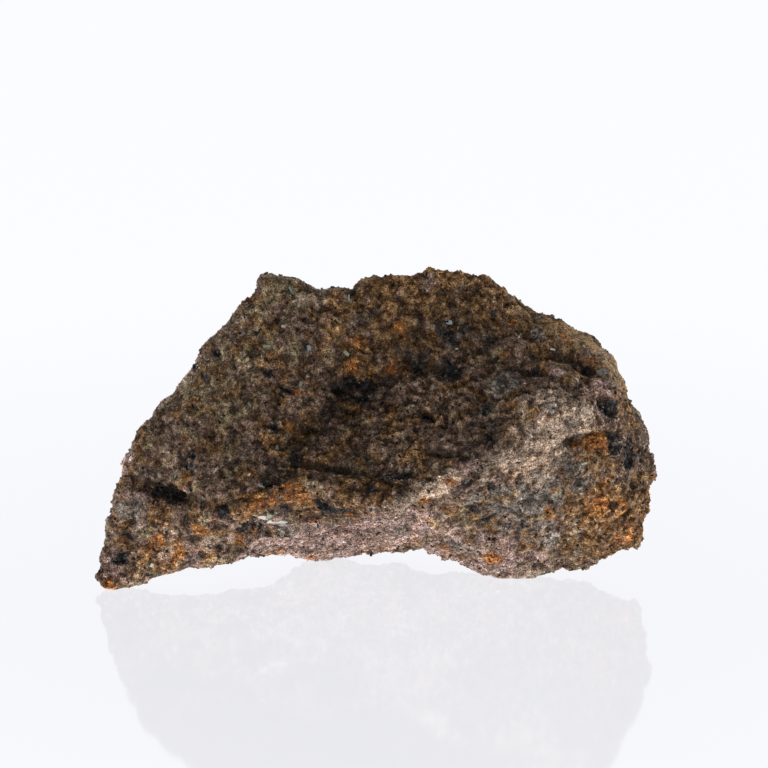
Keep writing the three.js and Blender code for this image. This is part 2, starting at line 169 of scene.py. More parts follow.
# where the zones lie; what is left over is plain axinite
PATCHES = {
    # yellowish olive break: the broad face, strongest at its top corner
    Zone.OLIVE: patches(
        ((-12, 2.5, 37), 3.5, 1.2), ((-9.5, 2.7, 35), 2.5, 0.9), ((-15, 1, 31), 6, 0.7),
        ((-20, -2, 24), 6, 0.7), ((-11, -5, 18.4), 3.5, 0.6), ((-17, -5.5, 17), 4, 0.6),
        ((3, -5, 22), 4, 0.5), ((24, -4, 4), 4, 0.7), ((-14, 8.5, 26), 6, 0.7), ((10, 12.5, 14), 4, 0.6),
        ((11, -8.2, 10.4), 2.2, 0.8)),
    # reddish and ochre brown break: the crest, down into the hollow and round the blunt end
    Zone.OCHRE: patches(
        ((0.5, 5.5, 36.5), 5), ((-4.5, 4.1, 35.2), 2.6), ((7, 4.8, 36.5), 6, 1.1), ((13, 4, 35), 5.5),
        ((2.5, 2.5, 31.5), 5), ((9, 2, 32), 4, 0.9), ((-2.6, 1, 28.5), 3.5, 1.1),
        ((-2.6, -1.8, 22.4), 2.2, 0.9), ((1.7, -4.5, 22.2), 1.6, 0.9), ((-8.1, -4.5, 20.8), 2.4, 0.9),
        ((-5.7, -7, 17.5), 2.6, 0.9), ((22.2, -1.1, 28.6), 2.4, 1), ((20, 3, 32.5), 4, 0.8),
        ((23.3, 1.7, 30.8), 3, 1), ((31.5, 1.5, 24.5), 3.5, 0.9), ((32, -0.7, 20.8), 4, 1.1),
        ((31, -3, 11), 5, 1.2), ((33.5, 1, 9), 6, 1.1), ((28, -4.8, 10.3), 4, 1.1), ((29, -3, 6), 5, 1.1),
        ((26.5, -6, 18), 3.5, 1), ((-17, -8.2, 11.6), 3, 0.9), ((-4.2, -8.9, 12.4), 3.6, 1.1),
        ((-9.5, -8.6, 11.5), 2.6, 0.9), ((-0.5, -10.6, 14.6), 2.6, 1.1), ((3, -11.4, 14.6), 1.6, 1),
        ((6, 1.2, 30.6), 4, 1.1), ((-6, 1.5, 30.5), 3, 0.9), ((-9, 0.5, 26.5), 2, 0.8),
        ((-26, -5.2, 9.5), 2, 0.5), ((-28.3, -5.2, 4.6), 2.4, 0.8), ((-24.5, -5.8, 5.8), 2.4, 0.8),
        ((-21.2, -7, 8), 2, 0.8), ((-18.2, -6, 7.2), 2, 0.7), ((24.8, -6.2, 11), 2.8, 1),
        ((22.9, -6.3, 8.8), 2, 0.7), ((-23, -7.5, 10), 1.6, 0.6), ((-22, -5, 4.4), 2.2, 0.9),
        ((-26.4, -4.9, 3.4), 2.2, 0.9), ((28.5, -4.9, 13.2), 3, 1), ((24.2, -7.4, 16.6), 2.2, 0.9),
        ((6, 11, 27), 7, 0.8), ((-20, 5.5, 13), 5, 0.7)),
    # pinkish grey break, rich in feldspar: under the lip
    Zone.PINK: patches(
        ((9, -8, 7.6), 5, 1), ((3, -7, 9.5), 5.5, 1.3), ((-3.3, -3.5, 6.8), 5, 1.2),
        ((-10, -5, 6.5), 4.5, 1.1), ((-16, -4.9, 5.6), 3.6, 0.9), ((-9.7, 0, 3.5), 5, 1.1),
        ((-3.3, 2, 3.2), 5, 1.1), ((3, -2, 5), 5, 1.1), ((8, -1, 3.5), 5, 1), ((13, -5, 5.5), 5, 0.9),
        ((14.5, -1.8, 1.8), 4.5, 0.9), ((-30, -4, 10), 3, 0.7), ((-31.4, -2.6, 15.8), 2.4, 0.5),
        ((-32.5, -5, 3), 2.5, 0.9), ((-27, -5.1, 4.5), 2.6, 0.5), ((-22.5, -5.9, 5.6), 2.8, 0.6),
        ((18.5, -2.5, 3), 3.5, 0.9), ((15.6, -4.4, 5), 2.8, 1.1), ((11.5, -12.4, 18.2), 1.2, 1),
        ((28, -3.4, 26.2), 1.4, 1.1), ((22.2, -4.3, 27.9), 1, 1), ((6.5, 5.1, 37.2), 1.2, 0.9),
        ((-4.6, -9, 11.6), 3.2, -1.3), ((12.5, -8.8, 11.2), 3.6, -1.1), ((-4, 10, 7), 5.5, 0.8),
        ((22, 10, 9), 4, 0.7)),
    # pale tan lump, and the cream spots along the lip
    Zone.PALE: patches(
        ((22, -9, 23.8), 3.4, 1.3), ((24.6, -7.4, 23.4), 2.8, 1.2), ((20, -9.6, 20.6), 3.2, 1.3),
        ((17, -10.2, 18.6), 2.8, 1.2), ((14, -11.4, 17.6), 2.2, 0.9), ((7, -12.8, 15.6), 2.1, 1.6),
        ((3.4, -12, 13), 1.5, 0.9), ((20.5, -9, 17.8), 2.6, 1.1), ((18.4, -9.8, 17.2), 2.4, 1.1),
        ((9.4, -12.9, 16.8), 1.5, 1.1), ((-25, -5.5, 5.6), 2.6, 0.5), ((-20, -6.2, 6.8), 2.6, 0.6),
        ((13.4, -11.4, 16.6), 1.5, 1), ((19, -9.6, 15.8), 2, 1), ((-29.8, -4.6, 10.4), 1.8, 0.6),
        ((-9, 3, 36.2), 2.2, 0.5), ((-6.4, 3.4, 35.6), 2, 0.8), ((-3.6, 4.2, 36), 1.4, 0.6),
        ((-17.4, 1, 33.4), 1.6, 0.7), ((-23.6, -0.6, 26.6), 1.6, 0.7), ((-26.4, -1.6, 23), 1.6, 0.7),
        ((19, -1.8, 1.8), 3, 0.6), ((25.1, -7.4, 21.6), 1.6, 1.3), ((-0.5, -10.6, 12.4), 1.4, 0.7)),
    # grey and faintly green break: the middle of the blunt face
    Zone.GREY: patches(
        ((20, -7.9, 13), 3.8, 1), ((17.5, -8.3, 11.3), 3.6, 1), ((15.2, -10.3, 14.2), 1.6, 0.8),
        ((21.4, -6.9, 9.8), 2.4, 0.7), ((24.3, -7, 15.2), 2.2, 0.8), ((21.3, -9.4, 24.4), 1.1, 1.2),
        ((23.6, -8.2, 22.2), 0.9, 1.2), ((9.9, -4.9, 5.7), 2, 1.1), ((3, -5, 7.5), 1.4, 0.9),
        ((21.8, -4.9, 6.4), 1.4, 1.2), ((-31, -4.4, 10.6), 1.8, 1), ((-11.3, -5.8, 8), 1.2, 1.2),
        ((15.6, -4.8, 26.5), 2.4, 0.9), ((20.3, 2, 31.5), 1.3, 1.2), ((27.5, 1.7, 29.2), 1.2, 1),
        ((11.4, -10.6, 14), 1.8, 0.8), ((8, -3.6, 25.6), 2.2, 0.7), ((-8, 10.3, 17), 4, 0.7),
        ((29.3, -5.3, 17.6), 2, 0.6)),
    # strong orange limonite
    Zone.RUST: patches(
        ((-10.2, -9.8, 14), 1.7, 1.2), ((-8.8, -8.6, 12.6), 1, 1.2), ((-15.3, -8.6, 12), 1.6, 0.9),
        ((-12.6, -9.2, 13), 1.4, 0.8), ((-3.6, -9, 10.2), 1.2, 0.8), ((27.2, -6, 19.6), 1.6, 1.1),
        ((24.6, -7.2, 19.4), 1, 0.8), ((14.5, -5, 3.8), 1.3, 1.4), ((2.5, 2.5, 31.9), 0.9, 1.7),
        ((-1.9, 2.1, 29.9), 0.8, 1.4), ((-2.8, 1.1, 27.3), 0.9, 1.8), ((1.9, 1.3, 27.1), 1, 1.6),
        ((3.9, -0.2, 27.1), 0.7, 0.9), ((-2.6, -1.4, 22.9), 0.8, 0.8), ((1.7, -4.5, 22.2), 0.7, 0.9),
        ((-10.7, -4.2, 21.1), 0.9, 0.9), ((22.2, -1.1, 28.4), 1, 0.9), ((24, 1.7, 31), 1.3, 0.8),
        ((-33.6, -5.5, 0.8), 1.2, 1), ((-8.2, 1.2, 2.8), 0.8, 1.2), ((15.6, -11.2, 16.4), 0.9, 0.9),
        ((9.2, -12.9, 16.4), 0.8, 0.8), ((19.4, -4, 25.6), 0.9, 0.8), ((-27, -5.3, 5.8), 1.5, 0.6),
        ((28.2, -4.8, 11.6), 2.6, 0.7), ((30, -4, 9.5), 2.6, 0.6), ((31, -1.5, 6), 2.4, 0.6),
        ((-25, -5.8, 4.6), 1.4, 0.8), ((-17.4, -5.8, 6.4), 1.2, 0.9), ((-21.8, -7.2, 8.6), 1.2, 0.7),
        ((20.9, -7.4, 10.4), 1.6, -1), ((15, 12.5, 18), 2.2, 0.9), ((-15, 9.5, 18), 1.6, 0.8),
        ((-2, 11, 24), 1.4, 0.8)),
    # blue-black and greenish black amphibole, and painted shade in the wide faint patches over the hollow
    Zone.BLACK: patches(
        ((9.2, -2.2, 27.2), 1.5, 1.2), ((-0.8, 0, 25.2), 1.3, 0.95), ((5.1, -0.3, 27.6), 1.1, 1.1),
        ((-3, 0, 25.4), 1, 0.8), ((-4.9, -0.4, 24.9), 0.8, 0.8), ((-2, -1, 24), 1.4, 0.85),
        ((14.9, -1, 28.6), 0.8, 0.9), ((13.6, -8.2, 23.8), 1, 1.2), ((13.6, -10.9, 22.2), 0.7, 1),
        ((6.3, -5.8, 22.6), 0.8, 0.9), ((-13.6, -9, 15.4), 0.9, 0.9), ((-9.4, -7.4, 17.4), 0.9, 0.8),
        ((-5.5, -8, 17), 1.4, 1), ((1.5, -10.2, 16.4), 1.3, 1.1), ((3.6, -10.8, 16.6), 1, 1),
        ((-11.1, -2.4, 25.2), 0.9, 0.9), ((-12.6, -5, 20.9), 0.8, 0.9), ((-19.8, -0.5, 29.5), 0.8, 0.9),
        ((-13.4, -1.9, 27.2), 0.8, 0.8), ((-8.1, -4.5, 20.6), 0.8, 0.7), ((12.1, 4.1, 35.6), 1.4, 0.7),
        ((8.7, 3.7, 36), 0.9, 0.7), ((29, -4.2, 23), 1.3, 1.4), ((28.8, -4.6, 21.6), 0.8, 1),
        ((31.4, -2.6, 16.4), 1.6, 0.9), ((29.6, -4.8, 18.6), 1.4, 0.8), ((31.6, -2.6, 17.4), 2.6, 0.8),
        ((26, -1.6, 27.5), 1, 1), ((19.4, -3.6, 27.9), 0.8, 1.1), ((-25.1, -4.9, 12.2), 1.2, 1.1),
        ((-27, -4.6, 12.4), 1.2, 0.8), ((-18.7, -8.5, 10.8), 0.8, 1.3), ((-21.6, -8.6, 11.8), 1, 0.7),
        ((-16.6, -6.2, 8.9), 1, 1.2), ((-14.6, -5.7, 8.2), 1, 1.1), ((-5.6, -8.6, 11.6), 1.7, 1.3),
        ((-3.4, -9.4, 12.2), 1.4, 1.2), ((-6.8, -7.6, 10.6), 1.2, 1), ((2.8, -11.6, 14.2), 1, 1),
        # the next three wide faint patches darken the hollow: painted shade
        ((9.5, 1.5, 31.5), 3, 0.55), ((13, 0.5, 30.5), 2.6, 0.5), ((5, 0.8, 29.4), 2.2, 0.55),
        ((-28.2, -4.1, 15), 1.6, 0.7), ((-24, -3.4, 16.5), 2.8, -0.9), ((-30.4, -5, 7), 1.3, 0.7),
        ((0, -10.8, 15), 1.2, 0.7), ((5, 1.6, 30.4), 1.3, 0.7), ((9.6, 1.2, 31.2), 1.2, 0.6),
        ((7.6, 0.6, 29.4), 1.2, 0.7), ((12.4, -9, 11.8), 1, 0.6), ((15, -9.4, 12.8), 1, 0.6),
        ((-11.2, -8.6, 12), 0.9, 0.8), ((13.5, -8, 10.2), 0.8, 1.2), ((11.2, -12, 15.9), 0.7, 1.2),
        ((-32.1, -4.7, 4), 1.3, 0.6), ((-30.2, -5, 4.8), 1.2, 0.5), ((2, 12, 20), 1.6, 0.9),
        ((-10, 9.8, 12), 1.8, 0.8), ((24, 10, 17), 1.4, 0.9), ((9, 10.8, 29), 1.2, 0.8)),
    # smooth weathered skin
    Zone.SKIN: patches(
        ((25.5, 3.2, 30.6), 3.6, 1.2), ((30, 2.5, 26.5), 3.6, 1.2), ((19, 5, 33.4), 2.6, 0.8),
        ((23, 9, 26), 5, 0.9)),
}


# what every stretch has of a zone: its share there, and how far the mottles raise and lower that
EVERYWHERE = {
    Zone.OLIVE: (0.15, 0.8),
    Zone.OCHRE: (0.25, 1.0),
    Zone.BLACK: (-0.7, 1.5),
    Zone.PINK: (-0.25, 0.8),
    Zone.RUST: (-0.38, 1.15),
}
NOWHERE = (-1.0, 0.0)


@dataclass(frozen=True)
class Stroke:
    """A crevice or a ridge that runs over the stone.

    Attributes:
        course: The places it runs through, in millimetres.
        width: Half its width, in millimetres.
        height: How far it stands out, in millimetres; a crevice goes in and has a negative height.
    """

    course: tuple[Point, ...]
    width: float
    height: float

    def apart(self, places: np.ndarray) -> np.ndarray:
        """Measures how far places are from the stroke.

        Args:
            places: One row for each place, in millimetres.

        Returns:
            The distance of each, in millimetres.
        """
        least = np.full(len(places), np.inf)
        for start, end in zip(self.course, self.course[1:]):
            begin, run = np.array(start), np.array(end) - np.array(start)
            along = np.clip((places - begin) @ run / (run @ run), 0.0, 1.0)
            apart = np.linalg.norm(places - begin - along[:, None] * run, axis=1)
            least = np.minimum(least, apart)
        return least


STROKES = (
    # where the hollow meets the broad face, from the torn ridge down to the lip
    Stroke(((10, -1.7, 27.9), (8, -1.6, 27.8), (4, 0, 27.6), (0, 0.6, 26), (-4, -1, 24.5),
            (-7, -3.8, 21.6), (-10, -6.1, 18.7), (-13, -8.8, 15.6)), 1.6, -0.7),
    # crevice above the lip, all along it
    Stroke(((-28.6, -4.3, 13.2), (-25.1, -4.9, 12.2), (-21.7, -8.7, 12.3), (-18.6, -8.7, 11.6),
            (-15.5, -8.8, 13), (-13.4, -9.4, 15), (-9, -7.6, 17.5), (-5.7, -8.2, 16.9),
            (-2.6, -8.8, 16.5), (1, -10, 16.6), (4.2, -10.8, 17.2), (6.4, -10.1, 18.8), (9.7, -11, 19.9),
            (12.7, -11.2, 21), (15, -11.2, 21.8)), 0.9, -0.8),
    # edge of the lip, with its knob
    Stroke(((-3.8, -10.8, 13.6), (0, -11, 13.4), (3, -12, 13.4), (6.8, -12.8, 15.4), (9, -12.9, 16.7),
            (11.5, -12.4, 18.2), (15.2, -11, 18.8), (17.7, -10.2, 18.9), (20.1, -9.6, 19.8),
            (22, -9, 21.4)), 1, 0.45),
    Stroke(((6, -12.8, 14.6), (7.4, -12.9, 16)), 0.9, 0.4),
    # small ledge on the blunt face, and the crevice under it
    Stroke(((22.6, -8.5, 21.2), (25.1, -7.5, 21.5), (27.6, -6.6, 21.8)), 0.6, 0.5),
    Stroke(((23.2, -8.4, 19.9), (25.4, -6.9, 19.9), (27.7, -6, 20.4), (29.6, -5.3, 19.8)), 0.6, -0.8),
    # crest of the torn ridge, the trench behind it and the hole before it
    Stroke(((17.5, -2.2, 30), (19.4, -3, 28.8), (22.2, -4.3, 28), (24.6, -4.7, 26.9)), 0.6, 0.6),
    Stroke(((19.6, -1.4, 29.6), (22, -1, 29.2), (24.2, -0.6, 29), (26.2, -1.6, 27.6)), 0.9, -0.9),
    Stroke(((18.6, -3.8, 28), (20.4, -4.2, 27.6)), 0.7, -0.7),
    # pit in the broad face's lower corner
    Stroke(((-26.8, -4.8, 12.5), (-25, -5, 12.2), (-24.2, -5.8, 11.8)), 1, -0.9),
    # notch under the right end's shoulder
    Stroke(((28.2, -4.6, 24), (29, -4.2, 22.8), (28.8, -4.6, 21.6)), 0.8, -0.8),
    # broken steps on the slope over the lip
    Stroke(((12.9, -4.9, 25.3), (15.2, -7.5, 25.3), (17, -7.9, 26)), 0.5, -0.5),
    Stroke(((7.9, -3.3, 26), (10.4, -4.6, 25.9), (12.6, -5.6, 25.9)), 0.6, 0.4),
    Stroke(((5.2, -5.2, 23.2), (6.3, -5.8, 22.4), (6.9, -6.2, 22)), 0.5, -0.6),
    Stroke(((13, -9.9, 22.8), (13.6, -11.2, 22), (14.5, -12, 21.2)), 0.5, -0.6),
    Stroke(((7.9, -7.2, 22), (9.7, -8.7, 21.6), (9.6, -9.6, 20.4)), 0.5, -0.5),
    Stroke(((6, -9.6, 19.3), (7.8, -10.5, 18.9), (9.7, -11, 19.3), (11.2, -12.1, 19)), 0.6, -0.6),
    Stroke(((-1, -5.5, 20.5), (2, -6.8, 19.8), (4.5, -7.4, 20)), 0.6, -0.4),
    Stroke(((2.5, -3.5, 24.5), (5, -4.2, 24.3)), 0.5, -0.4),
    # bulge and notch of the lower edge
    Stroke(((-10, 0.8, 3), (-5, 1.8, 2.7), (-1.5, 2, 2.9)), 2, 0.6),
    Stroke(((3.6, 5.2, 1.7), (5.8, 5.6, 1.4)), 2.2, -0.9),
    Stroke(((-15.4, 2.4, 36), (-17.4, 1.6, 34)), 1.8, -0.4),
    Stroke(((18.8, 5.8, 34.2), (21, 5.8, 33.2)), 1.4, -0.4),
    Stroke(((-27.2, -2.8, 22.4), (-26, -2.4, 24)), 2, -0.6),
    Stroke(((6.4, -0.6, 4.4), (9, -0.4, 3.6)), 1.4, 0.8),
    # shoulder of the crest's right end
    Stroke(((23.4, 4.6, 32.1), (24.6, 4.4, 31.6), (27, 4, 30)), 2.4, 0.5),
    # notches in the crest
    Stroke(((-3, 2.5, 35.8), (-3.2, 8, 36.4)), 0.6, -0.7),
    Stroke(((2, 4, 36.6), (2.2, 9, 37.4)), 0.4, -0.6),
    # short cracks in the broad face
    Stroke(((-20.4, -0.4, 30), (-19.4, -0.8, 28.9)), 0.4, -0.5),
    Stroke(((-14.4, -1.6, 27.8), (-12.8, -2.1, 26.8)), 0.4, -0.4),
    Stroke(((-12, -2.2, 25.6), (-10.4, -2.5, 24.9)), 0.4, -0.5),
    Stroke(((-18, -3, 24.4), (-14.6, -3.4, 24.3)), 0.35, -0.35),
    Stroke(((-13.8, -4.6, 21.3), (-11.4, -5.2, 20.6)), 0.4, -0.5),
    Stroke(((-9, -4.4, 21), (-7, -4.6, 20.6)), 0.5, -0.5),
    Stroke(((-5.2, -0.3, 25.2), (-4.5, -0.6, 24.6)), 0.5, -0.7),
)


# stained and rubbed places, with painted shade in the hollow and under the lip and painted light in places:
# the share is how much darker or lighter they are
STAINS_AND_PAINTED_SHADING = patches(
    # painted shade in the hollow and on the edge that runs down to it, with some dark stains
    ((3, 1.7, 29.2), 2.6, -0.3), ((7, 0.4, 29.6), 2.4, -0.3), ((13, 0.6, 30.8), 2.5, -0.3),
    ((10.5, 2.1, 34), 3, -0.2), ((-3.9, -0.4, 25), 2, -0.3), ((-5.1, -2.8, 22.2), 2.2, -0.3),
    ((-8.2, -4.6, 20.6), 2.2, -0.3), ((-10.6, -6.3, 18.4), 2.2, -0.3), ((11.5, -9.5, 21.8), 2.5, -0.2),
    ((2, -3, 23), 5, -0.12), ((-3.2, -7.9, 16.9), 2.2, -0.25), ((-15, -6.8, 18), 2.4, -0.25),
    # painted shade under the lip and in the left end's hollows, with some dark stains
    ((13.9, -12.1, 19.4), 1.8, -0.45), ((3.6, -11.9, 14.3), 1.5, -0.45), ((-5.1, -8.7, 11.4), 1.6, -0.4),
    ((-27.5, -4.5, 14.7), 1.6, -0.4), ((-29.8, -5.4, 6.6), 1.6, -0.35), ((25.3, -6.6, 13.4), 2.6, -0.25),
    ((-18.7, -6.2, 18.4), 2.2, -0.35), ((-21.2, -7.2, 8.4), 1.6, -0.25), ((-9.5, 3.2, 35.6), 1.8, -0.3),
    ((24.6, -4.4, 26.9), 1.4, -0.3), ((33.2, 0.6, 19), 2.4, -0.25), ((18.2, -10.4, 24.4), 1.2, -0.3),
    ((23.3, -8.1, 17.4), 2.6, -0.45), ((-4.4, -9.7, 12), 1.8, -0.35), ((14.7, -8.8, 11.2), 2.5, -0.2),
    ((30.7, -2, 7.5), 1.6, -0.25), ((-28.2, -4.3, 15.3), 1.6, -0.35), ((-28.8, -4.7, 10.9), 1.5, -0.25),
    ((24.4, -7.9, 24.2), 2, -0.2), ((22.8, -3.6, 28.2), 1.4, -0.25), ((6.8, 3.4, 34.7), 2, -0.3),
    ((-9.7, -0.4, 4.3), 1.6, -0.3), ((9.6, -12.3, 18.2), 1.6, -0.3), ((-9.5, -0.2, 29.7), 2.2, -0.25),
    ((-3.3, 1.2, 27.2), 2.4, -0.3), ((5.5, 0.6, 28.9), 2.5, -0.2), ((-8.2, -5.5, 19.5), 3, -0.15),
    ((-1.7, -2.1, 22.7), 2.4, -0.2), ((-10.5, -9.4, 13.6), 3, -0.18), ((4, 4, 34), 5, -0.08),
    ((19, -8, 12), 4, -0.08), ((21.4, -9.1, 21.6), 1.8, -0.2), ((23.6, -7.8, 17.2), 2, -0.15),
    ((-28.9, -4.5, 12.2), 1.6, -0.55), ((10, -9.5, 20.5), 6, -0.1), ((15, -8, 22.5), 4, -0.15),
    ((0, 0, 27), 5, -0.12), ((-1, -4, 21.5), 5, -0.08), ((-4.5, -8, 10), 2, -0.2),
    ((-4.5, -9.5, 11.6), 2, -0.25), ((3.4, -11.6, 14.6), 1.4, -0.2), ((6.9, -1.5, 5), 1.6, -0.3),
    ((14.5, -3, 3), 1.6, -0.25), ((-32, -4.5, 10.4), 1.6, -0.2), ((-25, -6, 9.8), 1.8, -0.25),
    ((-18.2, -5.5, 18.5), 2.2, -0.15), ((-13.5, -0.5, 28.5), 3, -0.15), ((10.5, 4.2, 35), 2.4, -0.2),
    ((17.5, -4, 27), 2.4, -0.2), ((15.7, -9.6, 21.6), 2.5, -0.1), ((12.7, -8.9, 11.6), 2.5, -0.15),
    ((30.6, -2.2, 8.4), 1.6, -0.25), ((2, 10.8, 13), 6, -0.2), ((-6, 9.5, 30), 5, -0.2),
    ((33.5, 0, 15.5), 2, -0.25),
    # rubbed places, partly painted light
    ((-2.8, 1.1, 27.3), 0.8, 0.5), ((1.9, 1.3, 27.1), 0.9, 0.4), ((2.5, 2.5, 31.9), 0.8, 0.5),
    ((20.5, -9.2, 24), 1.6, 0.3), ((22.4, -8.9, 19.9), 2, 0.35), ((20, -9.2, 19.1), 2, 0.2),
    ((17.6, -9.4, 15.9), 2, 0.2), ((26.2, -5.2, 10.6), 2.2, 0.2), ((28.6, -4.8, 13.6), 2, 0.25),
    ((25, -4, 6.8), 3, 0.15), ((14.8, -4.6, 5.8), 2, 0.2), ((-33.2, -5.4, 2.6), 2, 0.25),
    ((-24, -5.5, 5.6), 4, 0.25), ((-28.2, -5.3, 4.4), 2.6, 0.35), ((-26.6, -5.6, 8.4), 2.2, 0.35),
    ((-18.9, -5.6, 5.4), 1.6, 0.25), ((1.2, -10.6, 16), 1.6, 0.25), ((-2.6, -9.4, 14.6), 1.6, 0.2),
    ((-7, 3.8, 36.4), 3, 0.2), ((3.2, 5.2, 37), 3, 0.15), ((32.2, -0.5, 5), 2, 0.3),
    ((16, 11, 24), 5, 0.2), ((-18, 7.5, 17), 5, 0.2), ((4.4, 4.6, 2.2), 2.4, 0.4),
    ((27.4, -4.8, 11.5), 3, 0.3), ((-31.5, -5, 8.5), 2.5, 0.3), ((-26.5, -5.5, 8.2), 2.5, 0.25),
    ((7.2, -12, 14.3), 1.8, 0.35), ((8.8, -12.8, 16.4), 1.4, 0.35), ((3.4, -2, 5.4), 2, 0.25),
    ((25.5, -5.2, 9), 2, 0.2), ((5.4, -8.1, 10), 2, 0.3), ((15.8, -9.9, 15.6), 2, 0.2),
    ((23.1, -3.9, 6.1), 2.6, 0.3), ((27, -4.7, 7.4), 2, 0.3), ((-31.2, -3, 15), 2, 0.1),
    ((-30.2, -2.4, 20.2), 2, 0.2), ((-16, 1.9, 34), 2.6, 0.35), ((-13.8, -0.1, 32.2), 2.2, 0.25),
    ((-7, 1.2, 31.3), 1.6, 0.2), ((-3.3, 1.8, 29.9), 1.6, 0.2), ((-31.3, -4.7, 11.5), 2.8, 0.3),
    ((-31.5, -5, 2.5), 2.4, 0.3), ((7.9, -9.7, 10.4), 2.4, 0.45), ((6, -11.9, 13.6), 1.6, 0.45),
    ((4.9, -2, 5.5), 2.2, 0.45), ((15.2, -9.9, 16.2), 1.8, 0.35), ((20.2, -8.7, 15.9), 1.8, 0.35),
    ((18.8, -9.9, 25.5), 1.2, 0.3), ((27.3, -4.8, 24.4), 1.4, 0.35), ((26.3, -7.3, 21.9), 1.2, 0.35),
    ((30.8, -1.8, 6.8), 3, 0.1), ((4.2, -9.4, 18), 1.8, 0.3), ((13, -6.4, 6.8), 3, 0.25),
    ((-5.8, 3.8, 35.2), 2.6, 0.35), ((-14.2, 1.6, 35), 3, 0.2), ((4, 5, 36.8), 3, 0.2),
    ((9, 5, 37.2), 3, 0.2), ((14, 5.4, 37), 3, 0.25), ((-32.6, -4.5, 8.6), 3, 0.15),
    ((27.6, 0.6, 28.2), 2, 0.25), ((28.6, -3, 25.5), 1.6, 0.3), ((33, 0.4, 6), 2.6, 0.3),
    ((20.1, -9.3, 18.6), 1.8, 0.25))


# places that are worn smooth: the share is how much of the break is gone
CALM = patches(
    # the broad face's long edge, and the skin
    ((-22, 0, 28), 6, 0.7), ((-28, -1, 20), 6, 0.7), ((-14, 3, 37.5), 2.5, 0.8), ((-17, 1.5, 34), 5, 0.6),
    ((25, 4, 31), 6, 0.6), ((31, 2.5, 26), 5, 0.6))


class Look(Enum):
    """What a single crystal looks like. Each is the tint that picks its colour."""

    GREEN = 0.1
    BLUE = 0.35
    WHITE = 0.6
    GLASSY = 0.85


@dataclass(frozen=True)
class Splinter:
    """A single crystal that stands out from the others.

    Attributes:
        place: Its middle, in millimetres.
        size: Its length and width, in millimetres.
        slope: How steeply it runs up to the right, seen from the front, in degrees.
        look: What it looks like.
    """

    place: Point
    size: Pair
    slope: float
    look: Look


SPLINTERS = (
    Splinter((-13.6, -0.9, 30.1), (1.1, 0.5), 10, Look.GREEN),
    Splinter((-8.3, 0.7, 29.7), (1, 0.6), 80, Look.BLUE),
    Splinter((-3.6, 1.2, 28.9), (1, 0.5), -35, Look.GREEN),
    Splinter((-8.7, -0.5, 27.1), (1.3, 0.4), -65, Look.GREEN),
    Splinter((-9.2, -1.5, 25.5), (1, 0.5), 80, Look.GREEN),
    Splinter((-11.4, 0.6, 32.6), (0.7, 0.4), 30, Look.WHITE),
    Splinter((-12.1, -5.8, 18.7), (1.2, 0.7), 70, Look.GREEN),
    Splinter((8.9, 1.9, 32.9), (1, 0.7), 0, Look.BLUE),
    Splinter((10.1, 0.4, 29.8), (1.2, 0.4), 55, Look.WHITE),
    # these two white splinters on the torn ridge are painted glints
    Splinter((24.6, -4.5, 26.8), (0.9, 0.3), -45, Look.WHITE),
    Splinter((22.3, -0.2, 29.7), (0.8, 0.3), -10, Look.WHITE),
    Splinter((28, -2, 27.6), (1.4, 1.1), 40, Look.GLASSY),
    Splinter((22.4, -7.6, 13.4), (0.9, 0.4), 60, Look.GREEN),
    Splinter((25.4, -6.8, 13.8), (0.7, 0.4), 10, Look.GREEN),
    Splinter((-14.3, -7.3, 10.3), (2.2, 1), -14, Look.WHITE),
    Splinter((-12.1, -6.8, 9.8), (3, 1), -12, Look.WHITE),
    Splinter((-13, -7.6, 10.9), (1.7, 1.2), -5, Look.GREEN),
    Splinter((-11.2, -5.8, 8.8), (2.2, 1.4), -10, Look.GLASSY),
    Splinter((-28, -5.2, 3.3), (0.6, 0.5), 60, Look.WHITE),
    Splinter((15.6, -5, 26.6), (0.6, 0.4), 20, Look.BLUE),
    Splinter((-16.5, 0.5, 31.5), (0.6, 0.4), 60, Look.BLUE),
    Splinter((4.4, -4.6, 23.6), (0.5, 0.4), 45, Look.GREEN),
)


